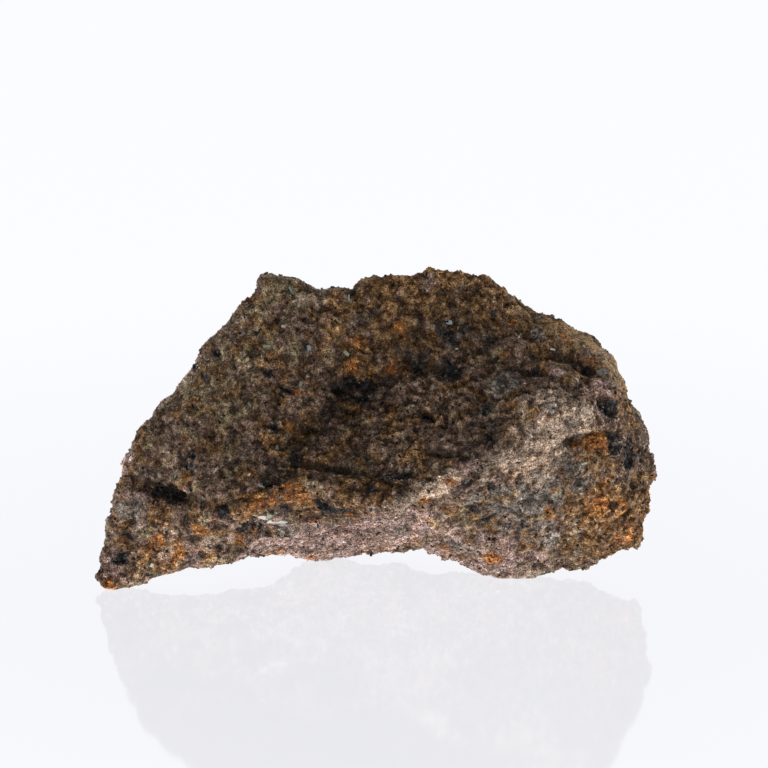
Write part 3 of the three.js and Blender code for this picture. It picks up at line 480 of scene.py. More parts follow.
@dataclass(frozen=True)
class MineralColours:
    """The colours of the rock's crystals: in each list from the darkest to the palest, by their share.

    Attributes:
        plain: Away from every zone, taupe brown axinite.
        zones: In each zone.
        streaked: The zones whose mottles are drawn out sideways.
        slant: How steeply those mottles run up to the right, seen from the front, in degrees.
        drawn: How much finer those mottles are along each axis.
        mottle: Width of the light and dark mottles, in millimetres, and how many finer layers they have.
        spread: Between which values of the mottles the colours run from the darkest to the palest.
        own: How far a crystal's colour is its own, from 0 to 1; the rest is that of the mottle it sits in.
        stray: How far into a zone crystals of another colour stray, from 0 to 1.
        soft: How softly one zone goes over into the next, from 0 to 1.
        palest: The shares of the crystals from which on they start to be paler still, and fully are: partly
            paler crystals, partly painted glints.
        grit: Width of the finest light and dark specks, in millimetres, and their finer layers.
        grit_spread: Between which values of their noise the specks run from dark to light.
        grit_shades: How light the darkest and the lightest specks are.
        swell: Width of the wide darker and lighter clouds, in millimetres, and their finer layers.
        swell_spread: Between which values of their noise the clouds run from dark to light.
        swell_shades: How light the darkest and the lightest clouds are.
        crevice: How light the deepest crevices are: painted shade.
        edge: How light the sharpest edges are: partly wear, partly painted light.
    """

    plain: Stops = ((0.14, (0.038, 0.023, 0.018)), (0.34, (0.119, 0.069, 0.045)),
        (0.5, (0.18, 0.114, 0.077)), (0.64, (0.237, 0.158, 0.11)), (0.78, (0.332, 0.232, 0.168)),
        (0.92, (0.475, 0.353, 0.264)))
    zones: tuple[tuple[Zone, Stops], ...] = (
        (Zone.OLIVE, ((0.14, (0.049, 0.036, 0.021)), (0.38, (0.15, 0.106, 0.053)),
            (0.58, (0.242, 0.18, 0.1)), (0.84, (0.407, 0.315, 0.192)))),
        (Zone.OCHRE, ((0.12, (0.032, 0.017, 0.009)), (0.34, (0.118, 0.057, 0.023)),
            (0.5, (0.195, 0.104, 0.042)), (0.66, (0.29, 0.162, 0.066)), (0.86, (0.43, 0.285, 0.15)))),
        (Zone.PINK, ((0.12, (0.11, 0.07, 0.057)), (0.34, (0.27, 0.172, 0.137)),
            (0.52, (0.368, 0.25, 0.204)), (0.72, (0.468, 0.337, 0.283)), (0.9, (0.61, 0.483, 0.421)))),
        (Zone.PALE, ((0.14, (0.175, 0.12, 0.081)), (0.36, (0.33, 0.234, 0.162)),
            (0.56, (0.43, 0.316, 0.226)), (0.8, (0.535, 0.42, 0.319)))),
        (Zone.GREY, ((0.12, (0.06, 0.049, 0.04)), (0.38, (0.19, 0.15, 0.116)),
            (0.56, (0.26, 0.212, 0.168)), (0.8, (0.39, 0.335, 0.275)))),
        (Zone.SKIN, ((0.1, (0.116, 0.072, 0.036)), (0.45, (0.263, 0.158, 0.069)),
            (0.7, (0.347, 0.225, 0.108)), (0.9, (0.42, 0.313, 0.194)))),
        (Zone.RUST, ((0.14, (0.085, 0.03, 0.012)), (0.38, (0.24, 0.088, 0.024)),
            (0.6, (0.42, 0.165, 0.042)), (0.84, (0.64, 0.35, 0.13)))),
        (Zone.BLACK, ((0.18, (0.01, 0.009, 0.009)), (0.42, (0.026, 0.022, 0.021)),
            (0.6, (0.068, 0.058, 0.053)), (0.84, (0.19, 0.16, 0.136)))),
    )
    streaked: tuple[Zone, ...] = (Zone.PINK, Zone.RUST, Zone.PALE)
    slant: float = 14.0
    drawn: Point = (0.32, 0.8, 1.25)
    mottle: Pair = (0.75, 4.0)
    spread: Pair = (0.17, 0.83)
    own: float = 0.1
    stray: float = 0.12
    soft: float = 0.45
    palest: Pair = (0.9, 0.97)
    grit: Pair = (0.17, 2.0)
    grit_spread: Pair = (0.37, 0.63)
    grit_shades: Pair = (0.4, 1.75)
    swell: Pair = (4.5, 3.0)
    swell_spread: Pair = (0.3, 0.7)
    swell_shades: Pair = (0.82, 1.11)
    crevice: float = 0.48
    edge: float = 1.3

    def wire(self, wires: "Wiring", tint: Socket, shades: Pair, pale_and_painted_glint: float = 1.0) -> Socket:
        """Wires up the colour of a crystal.

        Args:
            wires: The material's wiring.
            tint: A number from 0 to 1 that is the same all over the crystal.
            shades: How light the darkest and the lightest crystals are beside the others.
            pale_and_painted_glint: How much lighter still the few palest crystals are, partly as paler
                crystals and partly as painted glints.

        Returns:
            The colour's socket.
        """
        place = wires.node("ShaderNodeTexCoord").outputs["Object"]
        value = self._mottled(wires, place, tint)
        turned = wires.node("ShaderNodeVectorRotate", {"Vector": place, "Angle": math.radians(self.slant)},
                            rotation_type="Y_AXIS").outputs[0]
        drawn = wires.node("ShaderNodeVectorMath", {0: turned, 1: self.drawn}, operation="MULTIPLY")
        streaks = self._mottled(wires, drawn.outputs[0], tint)
        dice = wires.node("ShaderNodeTexWhiteNoise", {"W": wires.result("MULTIPLY", tint, SHADE_DICE)},
                          noise_dimensions="1D")
        throws = wires.node("ShaderNodeSeparateColor", {0: dice.outputs["Color"]}).outputs
        colour = wires.ramp(value, self.plain, "LINEAR")
        for number, (zone, stops) in enumerate(self.zones):
            throw = wires.result("MULTIPLY_ADD", throws[number % 3], self.stray, 0.5 - 0.5 * self.stray)
            lead = wires.result("SUBTRACT", wires.attribute(zone.value), throw)
            chosen = wires.between(lead, -self.soft, self.soft)
            drift = streaks if zone in self.streaked else value
            colour = wires.mixed(chosen, colour, wires.ramp(drift, stops, "LINEAR"))
        # painted shade in the crevices, and lighter edges that are partly wear and partly painted light
        deep = wires.attribute("deep")
        luck = dice.outputs["Value"]
        shade = wires.product(
            wires.between(wires.noise(place, *self.swell), *self.swell_spread, *self.swell_shades),
            wires.between(deep, 0.0, 1.0, 1.0, self.crevice),
            wires.between(deep, -1.0, 0.0, self.edge, 1.0),
            wires.between(luck, 0.0, 1.0, *shades),
            # the few palest crystals: partly paler crystals, partly painted glints
            wires.between(luck, *self.palest, 1.0, pale_and_painted_glint),
            wires.between(wires.noise(place, *self.grit), *self.grit_spread, *self.grit_shades),
            # stains and rubbed places, with painted shade and painted light among them
            wires.result("ADD", wires.attribute("stain"), 1.0),
        )
        return wires.mixed(1.0, colour, shade, blend="MULTIPLY")

    def _mottled(self, wires: "Wiring", place: Socket, tint: Socket) -> Socket:
        """How pale a crystal is, from 0 to 1, by the mottle it sits in and a little of its own."""
        mottles = wires.between(wires.noise(place, *self.mottle), *self.spread)
        return wires.mixed_value(self.own, mottles, tint)


class Wiring:
    """Adds nodes to one node tree and joins them up."""

    def __init__(self, tree: bpy.types.NodeTree) -> None:
        """Starts on a tree.

        Args:
            tree: The tree that the nodes go into.
        """
        self.tree = tree

    def node(self, kind: str, inputs: dict[Any, Any] | None = None, **settings: Any) -> bpy.types.Node:
        """Adds one node.

        Args:
            kind: The node's type name.
            inputs: What goes into its sockets, by name or number: a value, or the output socket to join.
            **settings: The node's own settings.

        Returns:
            The new node.
        """
        made = self.tree.nodes.new(kind)
        for name, value in settings.items():
            setattr(made, name, value)
        for key, value in (inputs or {}).items():
            self.feed(made.inputs[key], value)
        return made

    def feed(self, socket: Socket, value: Any) -> None:
        """Joins an output to an input socket, or sets its value.

        Args:
            socket: The input socket.
            value: A value, or the output socket to join.
        """
        if isinstance(value, bpy.types.NodeSocket):
            self.tree.links.new(value, socket)
        else:
            socket.default_value = value

    def attribute(self, name: str) -> Socket:
        """Reads one of the surface's attributes in a material, and returns its number's socket."""
        return self.node("ShaderNodeAttribute", attribute_name=name).outputs["Fac"]

    def result(self, operation: str, first: Any, second: Any = 0.0, third: Any = 0.0) -> Socket:
        """Works out a number.

        Args:
            operation: A Math node's operation.
            first: A number or a socket.
            second: A number or a socket.
            third: A number or a socket.

        Returns:
            The result's socket.
        """
        return self.node("ShaderNodeMath", {0: first, 1: second, 2: third}, operation=operation).outputs[0]

    def product(self, first: Any, *others: Any) -> Socket:
        """Multiplies numbers or sockets, one after the other, and returns the result's socket."""
        for other in others:
            first = self.result("MULTIPLY", first, other)
        return first

    def scaled(self, vector: Socket, factor: Any) -> Socket:
        """Scales a vector by a number or a socket, and returns the result's socket."""
        return self.node("ShaderNodeVectorMath", {0: vector, "Scale": factor}, operation="SCALE").outputs[0]

    def mixed(self, share: Any, first: Any, second: Any, blend: str = "MIX") -> Socket:
        """Mixes two colours.

        Args:
            share: How much of the second one, as a number or a socket.
            first: The first colour's socket.
            second: The second colour's socket.
            blend: The Mix node's blend type.

        Returns:
            The mixed colour's socket.
        """
        first_colour, second_colour = 6, 7
        return self.node("ShaderNodeMix", {0: share, first_colour: first, second_colour: second},
                         data_type="RGBA", blend_type=blend).outputs[2]

    def mixed_value(self, share: Any, first: Any, second: Any) -> Socket:
        """Mixes two numbers.

        Args:
            share: How much of the second one, as a number or a socket.
            first: A number or a socket.
            second: A number or a socket.

        Returns:
            The mixed number's socket.
        """
        return self.node("ShaderNodeMix", {0: share, 2: first, 3: second}, data_type="FLOAT").outputs[0]

    def noise(self, place: Socket, across: float, detail: float) -> Socket:
        """Makes cloudy noise.

        Args:
            place: Where it is looked up.
            across: Width of its largest clouds, in millimetres.
            detail: How many finer layers it has.

        Returns:
            The noise's socket, about 0.5 on average.
        """
        made = self.node("ShaderNodeTexNoise", {"Vector": place, "Scale": 1 / (across * MM), "Detail": detail,
                                                "Roughness": LAYER_STRENGTH})
        return made.outputs[0]

    def ramp(self, value: Socket, stops: Stops, kind: str = "CONSTANT") -> Socket:
        """Picks a colour by a number.

        Args:
            value: The number, from 0 to 1.
            stops: Where each colour starts, and the colour.
            kind: CONSTANT to go from one colour to the next in steps, LINEAR to blend them.

        Returns:
            The colour's socket.
        """
        made = self.node("ShaderNodeValToRGB", {0: value})
        made.color_ramp.interpolation = kind
        elements = made.color_ramp.elements
        while len(elements) < len(stops):
            elements.new(0.5)
        for element, (place, colour) in zip(elements, stops):
            element.position = place
            element.color = (*colour, 1.0)
        return made.outputs[0]

    def between(self, value: Socket, low: float, high: float,
                to_low: float = 0.0, to_high: float = 1.0) -> Socket:
        """Stretches a number smoothly from one range to another, and holds it there.

        Args:
            value: The number's socket.
            low: The value that becomes to_low.
            high: The value that becomes to_high.
            to_low: The result at low.
            to_high: The result at high.

        Returns:
            The result's socket.
        """
        made = self.node("ShaderNodeMapRange", {0: value, 1: low, 2: high, 3: to_low, 4: to_high},
                         interpolation_type="SMOOTHSTEP")
        return made.outputs[0]


def new_material(name: str) -> tuple[bpy.types.Material, Wiring, bpy.types.Node]:
    """Makes a material.

    Args:
        name: Its name.

    Returns:
        The material, its wiring and its shader.
    """
    material = bpy.data.materials.new(name)
    material.use_nodes = True
    return material, Wiring(material.node_tree), material.node_tree.nodes["Principled BSDF"]


@dataclass(frozen=True)
class GroundmassFinish:
    """The fine-grained rock between the larger crystals.

    Attributes:
        grain: Width of a grain, in millimetres.
        wander: How far the grains' edges wander, in millimetres.
        bend: Width of the bends in them, in millimetres, and how many finer layers the bends have.
        relief: How far the grains stand out, in millimetres.
        rough: Roughness of the shiniest and of the dullest grains.
        gloss: Strength of their shine.
        shades: How light the darkest and the lightest grains are beside the others.
    """

    grain: float = 0.42
    wander: float = 0.3
    bend: Pair = (0.7, 2.0)
    relief: float = 0.08
    rough: Pair = (0.45, 0.95)
    gloss: float = 0.25
    shades: Pair = (0.7, 1.3)

    def build(self) -> bpy.types.Material:
        """Makes the material.

        Returns:
            The groundmass material.
        """
        material, wires, shader = new_material("groundmass")
        place = wires.node("ShaderNodeTexCoord").outputs["Object"]
        wide, detail = self.bend
        drift = wires.node("ShaderNodeTexNoise",
                           {"Vector": place, "Scale": 1 / (wide * MM), "Detail": detail})
        shift = wires.node("ShaderNodeVectorMath", {0: drift.outputs["Color"], 1: HALFWAY},
                           operation="SUBTRACT").outputs[0]
        pushed = wires.node("ShaderNodeVectorMath", {0: shift, 1: (2 * self.wander * MM,) * 3, 2: place},
                            operation="MULTIPLY_ADD").outputs[0]
        grains = wires.node("ShaderNodeTexVoronoi", {"Vector": pushed, "Scale": 1 / (self.grain * MM)})
        pick = wires.node("ShaderNodeSeparateColor", {0: grains.outputs["Color"]}).outputs
        wires.feed(shader.inputs["Base Color"], MineralColours().wire(wires, pick[0], self.shades))
        wires.feed(shader.inputs["Roughness"], wires.between(pick[1], 0.0, 1.0, *self.rough))
        wires.feed(shader.inputs["Specular IOR Level"], self.gloss)
        bump = wires.node("ShaderNodeBump", {"Height": pick[2], "Distance": self.relief * MM})
        wires.feed(shader.inputs["Normal"], bump.outputs[0])
        return material


@dataclass(frozen=True)
class CrystalFinish:
    """Single crystals, each of one colour.

    Attributes:
        rough: Roughness of the shiniest and of the dullest crystals.
        gloss: Strength of their shine.
        own: Colours of the mineral's own, or none where it has the colours of its zone.
        shades: How light the darkest and the lightest crystals are beside the others.
        pale_and_painted_glint: How much lighter still the few palest crystals are, partly as paler crystals
            and partly as painted glints.
    """

    rough: Pair = (0.2, 0.75)
    gloss: float = 0.3
    own: Stops = ()
    shades: Pair = (0.6, 1.45)
    pale_and_painted_glint: float = 1.0

    def build(self, name: str) -> bpy.types.Material:
        """Makes the material.

        Args:
            name: Its name.

        Returns:
            The crystals' material.
        """
        material, wires, shader = new_material(name)
        tint = wires.attribute("tint")
        if self.own:
            colour = wires.ramp(tint, self.own)
        else:
            colour = MineralColours().wire(wires, tint, self.shades, self.pale_and_painted_glint)
        wires.feed(shader.inputs["Base Color"], colour)
        shine = wires.result("FRACT", wires.result("MULTIPLY", tint, SHINE_DICE))
        wires.feed(shader.inputs["Roughness"], wires.between(shine, 0.0, 1.0, *self.rough))
        wires.feed(shader.inputs["Specular IOR Level"], self.gloss)
        return material


@dataclass
class BrokenSurface:
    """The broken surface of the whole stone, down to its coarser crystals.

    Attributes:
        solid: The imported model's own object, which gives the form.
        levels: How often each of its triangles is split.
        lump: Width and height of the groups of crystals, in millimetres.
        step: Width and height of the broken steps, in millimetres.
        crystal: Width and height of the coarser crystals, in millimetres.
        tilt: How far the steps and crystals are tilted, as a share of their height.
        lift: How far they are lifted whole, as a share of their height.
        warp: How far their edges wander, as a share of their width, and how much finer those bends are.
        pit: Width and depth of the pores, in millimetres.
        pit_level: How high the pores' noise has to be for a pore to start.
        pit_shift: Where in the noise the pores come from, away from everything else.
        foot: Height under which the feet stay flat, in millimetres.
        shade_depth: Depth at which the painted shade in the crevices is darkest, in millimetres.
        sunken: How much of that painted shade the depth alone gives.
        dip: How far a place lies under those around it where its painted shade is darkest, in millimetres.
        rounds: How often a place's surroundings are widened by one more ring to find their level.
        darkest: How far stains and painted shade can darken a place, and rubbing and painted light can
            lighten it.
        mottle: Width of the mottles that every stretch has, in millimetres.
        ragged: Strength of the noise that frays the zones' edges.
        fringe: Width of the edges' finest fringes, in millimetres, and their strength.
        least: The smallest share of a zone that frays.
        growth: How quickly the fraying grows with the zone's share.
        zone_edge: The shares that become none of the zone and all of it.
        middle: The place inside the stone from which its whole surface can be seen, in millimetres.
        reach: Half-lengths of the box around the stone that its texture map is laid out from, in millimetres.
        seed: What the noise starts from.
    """

    solid: bpy.types.Object
    levels: int = 2
    lump: Pair = (2.2, 0.32)
    step: Pair = (3.2, 0.34)
    crystal: Pair = (0.85, 0.2)
    tilt: float = 2.0
    lift: float = 0.5
    warp: Pair = (0.35, 1.7)
    pit: Pair = (1.3, 0.75)
    pit_level: float = 0.25
    pit_shift: Point = (40.0, 7.0, 19.0)
    foot: float = 0.5
    shade_depth: float = 0.55
    sunken: float = 0.5
    dip: float = 0.19
    rounds: int = 6
    darkest: float = 0.7
    mottle: float = 2.2
    ragged: float = 0.8
    fringe: Pair = (0.7, 0.5)
    least: float = 0.02
    growth: float = 2.0
    zone_edge: Pair = (0.25, 0.75)
    middle: Point = (4.0, 4.0, 12.5)
    reach: Point = (36.0, 15.0, 20.0)
    seed: int = 5

    def build(self) -> bpy.types.Object:
        """Makes the surface.

        Returns:
            The finished piece, a plain mesh.
        """
        piece = self._subdivided()
        mesh = piece.data
        places, facing = read_points(mesh), read_points(mesh, "normal")
        noise.seed_set(self.seed)
        self._mark_zones(mesh, places)
        self._map(mesh, places)
        rises = np.array([self._rise(Vector(place) / MM) for place in places])
        for patch in CALM:
            rises *= 1.0 - patch.share_at(places / MM)
        for stroke in STROKES:
            rises += stroke.height * np.exp(-(stroke.apart(places / MM) / stroke.width) ** 2)
        rises *= MM
        # how deep each place lies, which the materials turn into painted shade in the crevices and painted
        # light on the edges
        below = self._level(mesh, rises) - rises
        deep = -rises / MM / self.shade_depth * self.sunken + below / MM / self.dip
        write_values(mesh, "deep", np.clip(deep, -1.0, 1.0))
        # stains and rubbed places, with painted shade and painted light among them
        stain = sum(patch.share_at(places / MM) for patch in STAINS_AND_PAINTED_SHADING)
        write_values(mesh, "stain", np.clip(stain, -self.darkest, self.darkest))
        calm = np.clip(places[:, 2] / (self.foot * MM), 0.0, 1.0)
        places += facing * (rises * calm)[:, None]
        places[:, 2] = np.maximum(places[:, 2], 0.0)
        mesh.vertices.foreach_set("co", places.ravel())
        mesh.update()
        for polygon in mesh.polygons:
            polygon.use_smooth = False
        return piece

    def _subdivided(self) -> bpy.types.Object:
        """A merged copy of the solid with its triangles split and rounded."""
        mesh = self.solid.data.copy()
        mesh.name = "stone"
        mesh.materials.clear()
        piece = link("stone", mesh)
        weld = piece.modifiers.new("weld", "WELD")
        weld.merge_threshold = WELD * MM
        split = piece.modifiers.new("split", "SUBSURF")
        split.levels = split.render_levels = self.levels
        make_plain(piece)
        return piece

    def _level(self, mesh: bpy.types.Mesh, rises: np.ndarray) -> np.ndarray:
        """How far the surroundings of each vertex stand out.

        Args:
            mesh: The fine surface.
            rises: How far each vertex stands out.

        Returns:
            The mean rise around each vertex.
        """
        ends = np.empty(len(mesh.edges) * 2, np.int32)
        mesh.edges.foreach_get("vertices", ends)
        first, second = ends[0::2], ends[1::2]
        count = len(rises)
        met = np.bincount(ends, minlength=count)
        level = rises
        for _ in range(self.rounds):
            total = np.bincount(first, level[second], count) + np.bincount(second, level[first], count)
            level = total / met
        return level

    def _map(self, mesh: bpy.types.Mesh, places: np.ndarray) -> None:
        """Lays the surface out on a texture map: six fields, one for each side of a box around the middle.

        Args:
            mesh: The fine surface, before it is roughened.
            places: Its vertices' places, in metres.
        """
        seen = (places / MM - np.array(self.middle)) / np.array(self.reach)
        rays = seen[read_corners(mesh)].reshape(-1, 3, 3)
        inward = rays.mean(axis=1)
        side = np.abs(inward).argmax(axis=1)
        rows = np.arange(len(side))
        towards = np.sign(inward[rows, side])
        depth = np.maximum(rays[rows, :, side] * towards[:, None], LEAST_DEPTH)
        spot = np.empty((len(side), 3, 2))
        for axis in range(3):
            chosen = side == axis
            for number, other in enumerate(a for a in range(3) if a != axis):
                spot[chosen, :, number] = np.arctan(rays[chosen][:, :, other] / depth[chosen]) * 4 / math.pi
        cell = np.stack([side, (towards > 0).astype(int)], axis=1)[:, None, :]
        spot = cell + 0.5 + np.clip(spot, -FIELD_LIMIT, FIELD_LIMIT) * FIELD_FILL
        write_map(mesh, spot / np.array(FIELDS))

    def _rise(self, place: Vector) -> float:
        """How far the fine surface stands out.

        Args:
            place: A place on the smooth surface, in millimetres.

        Returns:
            How far it stands out there, in millimetres.
        """
        wide, high = self.lump
        rise = high * noise.fractal(place / wide, LUMP_FADE, *LAYERS)
        far, finer = self.warp
        for wide, high in (self.step, self.crystal):
            warped = place / wide + far * noise.noise_vector(place / wide * finer)
            _, seeds = noise.voronoi(warped)
            slope = noise.cell_vector(seeds[0] * TILT_DICE) - Vector(HALFWAY)
            lifted = self.lift * noise.cell(seeds[0] * LIFT_DICE)
            rise += high * (self.tilt * (warped - seeds[0]).dot(slope) + lifted)
        wide, deep = self.pit
        pore = noise.noise(place / wide + Vector(self.pit_shift))
        return rise - deep * max(0.0, pore - self.pit_level)

    def _mark_zones(self, mesh: bpy.types.Mesh, places: np.ndarray) -> None:
        """Writes each zone's share at each vertex into an attribute.

        Args:
            mesh: The fine surface.
            places: Its vertices' places, in metres.
        """
        none, whole = self.zone_edge
        wide, strong = self.fringe
        for number, zone in enumerate(Zone):
            share = np.zeros(len(places))
            kept_away = np.zeros(len(places))
            for patch in PATCHES[zone]:
                here = patch.share_at(places / MM)
                share, kept_away = np.maximum(share, here), np.maximum(kept_away, -here)
            share = np.maximum(share - kept_away, 0.0)
            shift = Vector((ZONE_SHIFT * number, 0.0, 0.0))
            level, swing = EVERYWHERE.get(zone, NOWHERE)
            for index, place in enumerate(places):
                spot = Vector(place) / MM
                mottles = noise.fractal(spot / self.mottle + shift, MOTTLE_FADE, *LAYERS)
                if share[index] > self.least:
                    frayed = mottles + strong * noise.noise(spot / wide + shift)
                    share[index] += self.ragged * frayed * min(1.0, self.growth * share[index])
                share[index] = max(share[index], level + swing * mottles)
            write_values(mesh, zone.value, np.clip((share - none) / (whole - none), 0.0, 1.0))


class Habit(Enum):
    """The shape of a mineral's crystals: half their length, width and height, and how sharp they are."""

    WEDGE = ((0.5, 0.4, 0.22), 0.3)
    PRISM = ((0.62, 0.24, 0.24), 0.1)
    BLOCK = ((0.45, 0.42, 0.34), 0.15)
    EARTHY = ((0.46, 0.44, 0.36), 0.35)
    SLIVER = ((0.62, 0.2, 0.1), 0.3)

    def shapes(self, count: int) -> bpy.types.Collection:
        """Makes a few different crystals of this habit, each a closed hull about a millimetre long.

        Args:
            count: How many different ones.

        Returns:
            A collection of them, outside the scene.
        """
        sizes, sharp = self.value
        draw = np.random.default_rng(len(self.name) * HABIT_SEED)
        box = bpy.data.collections.new(self.name.lower())
        for number in range(count):
            shape = bmesh.new()
            for signs in CORNERS:
                pull = 1.0 - sharp * draw.random(3) * MOST_PULLED
                if self is Habit.WEDGE and signs[0] > 0:
                    pull[2] *= THIN_END
                shape.verts.new(Vector(signs * sizes * pull) * MM)
            hull = bmesh.ops.convex_hull(shape, input=shape.verts)
            inside = [part for part in hull["geom_interior"] if isinstance(part, bmesh.types.BMVert)]
            bmesh.ops.delete(shape, geom=inside, context="VERTS")
            bmesh.ops.recalc_face_normals(shape, faces=shape.faces)
            mesh = bpy.data.meshes.new(f"{self.name.lower()}_{number}")
            shape.to_mesh(mesh)
            shape.free()
            box.objects.link(bpy.data.objects.new(mesh.name, mesh))
        return box


@dataclass
class Crust:
    """The crystals of one mineral, set into the surface.

    Attributes:
        name: The piece's name, and its material's.
        finish: What they look like.
        habit: What shape they have.
        length: Shortest and longest crystal, in millimetres.
        crowd: How many there are on a square millimetre away from every zone.
        zones: How many there are more of in each zone.
        tilt: How far they may lean from lying flat, in radians.
        sunk: How deep their middles lie, as a share of their length.
        seed: What the random numbers start from.
        kinds: How many different crystals there are.
        squat: The least and the most that a crystal is stretched along each axis.
        clear: How high above the ground they start, as a share of the longest one.
    """

    name: str
    finish: CrystalFinish
    habit: Habit
    length: Pair
    crowd: float
    zones: dict[Zone, float] = field(default_factory=dict)
    tilt: float = 0.7
    sunk: float = 0.05
    seed: int = 1
    kinds: int = 6
    squat: tuple[Point, Point] = ((0.8, 0.7, 0.7), (1.2, 1.2, 1.2))
    clear: float = 0.6

    def build(self, stone: bpy.types.Object) -> bpy.types.Object:
        """Scatters the crystals over the stone.

        Args:
            stone: The finished surface that they are set into.

        Returns:
            The finished piece, a plain mesh.
        """
        piece = link(self.name, stone.data.copy())
        shapes = self.habit.shapes(self.kinds)
        tree = self._tree()
        scatter = piece.modifiers.new("scatter", "NODES")
        scatter.node_group = tree
        settings = {"Shapes": shapes, "Shortest": self.length[0], "Longest": self.length[1],
                    "Tilt": self.tilt, "Sunk": self.sunk, "Seed": self.seed}
        for item in tree.interface.items_tree:
            if item.in_out == "INPUT" and item.name in settings:
                scatter[item.identifier] = settings[item.name]
        make_plain(piece)
        for crystal in list(shapes.objects):
            bpy.data.meshes.remove(crystal.data)
        bpy.data.collections.remove(shapes)
        settle(piece.data)
        return piece

    def _tree(self) -> bpy.types.NodeTree:
        """Builds the tree that scatters the crystals.

        Returns:
            A Geometry Nodes tree with inputs for the shapes, sizes, tilt, depth and seed.
        """
        tree = bpy.data.node_groups.new(f"{self.name}_scatter", "GeometryNodeTree")
        for name, kind in (("Surface", "Geometry"), ("Shapes", "Collection"), ("Shortest", "Float"),
                           ("Longest", "Float"), ("Tilt", "Float"), ("Sunk", "Float"), ("Seed", "Int")):
            tree.interface.new_socket(name, in_out="INPUT", socket_type=f"NodeSocket{kind}")
        tree.interface.new_socket("Crystals", in_out="OUTPUT", socket_type="NodeSocketGeometry")
        wires = Wiring(tree)
        given = wires.node("NodeGroupInput").outputs
        seed = given["Seed"]
        spread = wires.node("GeometryNodeDistributePointsOnFaces",
                            {"Mesh": given["Surface"], "Density": self._density(wires), "Seed": seed})
        length = self._random(wires, seed, 1, given["Shortest"], given["Longest"])
        depth = wires.result("MULTIPLY", wires.result("MULTIPLY", length, given["Sunk"]), -MM)
        choice = wires.node("FunctionNodeRandomValue", {"Seed": seed}, data_type="INT")
        for number, bound in ((4, 0), (5, self.kinds - 1)):
            choice.inputs[number].default_value = bound
        squat = wires.node("FunctionNodeRandomValue", {0: self.squat[0], 1: self.squat[1], "Seed": seed},
                           data_type="FLOAT_VECTOR")
        shapes = wires.node("GeometryNodeCollectionInfo", {"Collection": given["Shapes"],
                                                           "Separate Children": True, "Reset Children": True})
        placed = wires.node("GeometryNodeInstanceOnPoints", {
            "Points": spread.outputs["Points"], "Instance": shapes.outputs[0], "Pick Instance": True,
            "Rotation": self._turn(wires, given, spread.outputs["Rotation"]),
            "Instance Index": choice.outputs[2], "Scale": wires.scaled(squat.outputs[0], length)})
        sunk = wires.node("GeometryNodeTranslateInstances", {
            "Instances": placed.outputs[0], "Translation": wires.scaled(spread.outputs["Normal"], depth),
            "Local Space": False})
        named = sunk.outputs[0]
        for name, value, kind in (("tint", self._random(wires, seed, 2, 0.0, 1.0), "FLOAT"),
                                  ("crystal", wires.node("GeometryNodeInputIndex").outputs[0], "INT")):
            stored = wires.node("GeometryNodeStoreNamedAttribute",
                                {"Geometry": named, "Name": name, "Value": value},
                                data_type=kind, domain="INSTANCE")
            named = stored.outputs[0]
        whole = wires.node("GeometryNodeRealizeInstances", {"Geometry": named}).outputs[0]
        dressed = wires.node("GeometryNodeSetMaterial", {"Geometry": whole,
                                                         "Material": self.finish.build(self.name)})
        wires.node("NodeGroupOutput", {"Crystals": dressed.outputs[0]})
        return tree

    def _density(self, wires: Wiring) -> Socket:
        """How many crystals there are on a square metre, by the zone, and none close to the ground.

        Args:
            wires: The tree's wiring.

        Returns:
            The number's socket.
        """
        crowd: Any = self.crowd
        for zone, more in self.zones.items():
            share = wires.node("GeometryNodeInputNamedAttribute", {"Name": zone.value}, data_type="FLOAT")
            crowd = wires.result("MULTIPLY_ADD", share.outputs[0], more, crowd)
        place = wires.node("GeometryNodeInputPosition").outputs[0]
        height = wires.node("ShaderNodeSeparateXYZ", {0: place}).outputs[2]
        clear = wires.result("GREATER_THAN", height, self.clear * self.length[1] * MM)
        return wires.product(wires.result("MAXIMUM", crowd, 0.0), clear, 1 / MM ** 2)

    @staticmethod
    def _turn(wires: Wiring, given: Any, flat: Socket) -> Socket:
        """Turns each crystal at random from lying flat on the surface.

        Args:
            wires: The tree's wiring.
            given: The tree's inputs.
            flat: The rotation of a crystal that lies flat.

        Returns:
            The rotation's socket.
        """
        lean = wires.node("FunctionNodeRandomValue", {"Seed": given["Seed"]}, data_type="FLOAT_VECTOR")
        for name, side in (("Min", -1.0), ("Max", 1.0)):
            reach = wires.result("MULTIPLY", given["Tilt"], side)
            turn = wires.node("ShaderNodeCombineXYZ", {0: reach, 1: reach, 2: side * math.pi})
            wires.feed(lean.inputs[name], turn.outputs[0])
        turned = wires.node("FunctionNodeEulerToRotation", {0: lean.outputs[0]}).outputs[0]
        return wires.node("FunctionNodeRotateRotation", {"Rotation": flat, "Rotate By": turned},
                          rotation_space="LOCAL").outputs[0]

    @staticmethod
    def _random(wires: Wiring, seed: Socket, shift: int, low: Any, high: Any) -> Socket:
        """A random number for each crystal.

        Args:
            wires: The tree's wiring.
            seed: The tree's seed.
            shift: What is added to the seed, so that two numbers differ.
            low: The least it can be.
            high: The most it can be.

        Returns:
            The number's socket.
        """
        own_seed = wires.result("ADD", seed, shift)
        return wires.node("FunctionNodeRandomValue", {2: low, 3: high, "Seed": own_seed},
                          data_type="FLOAT").outputs[1]


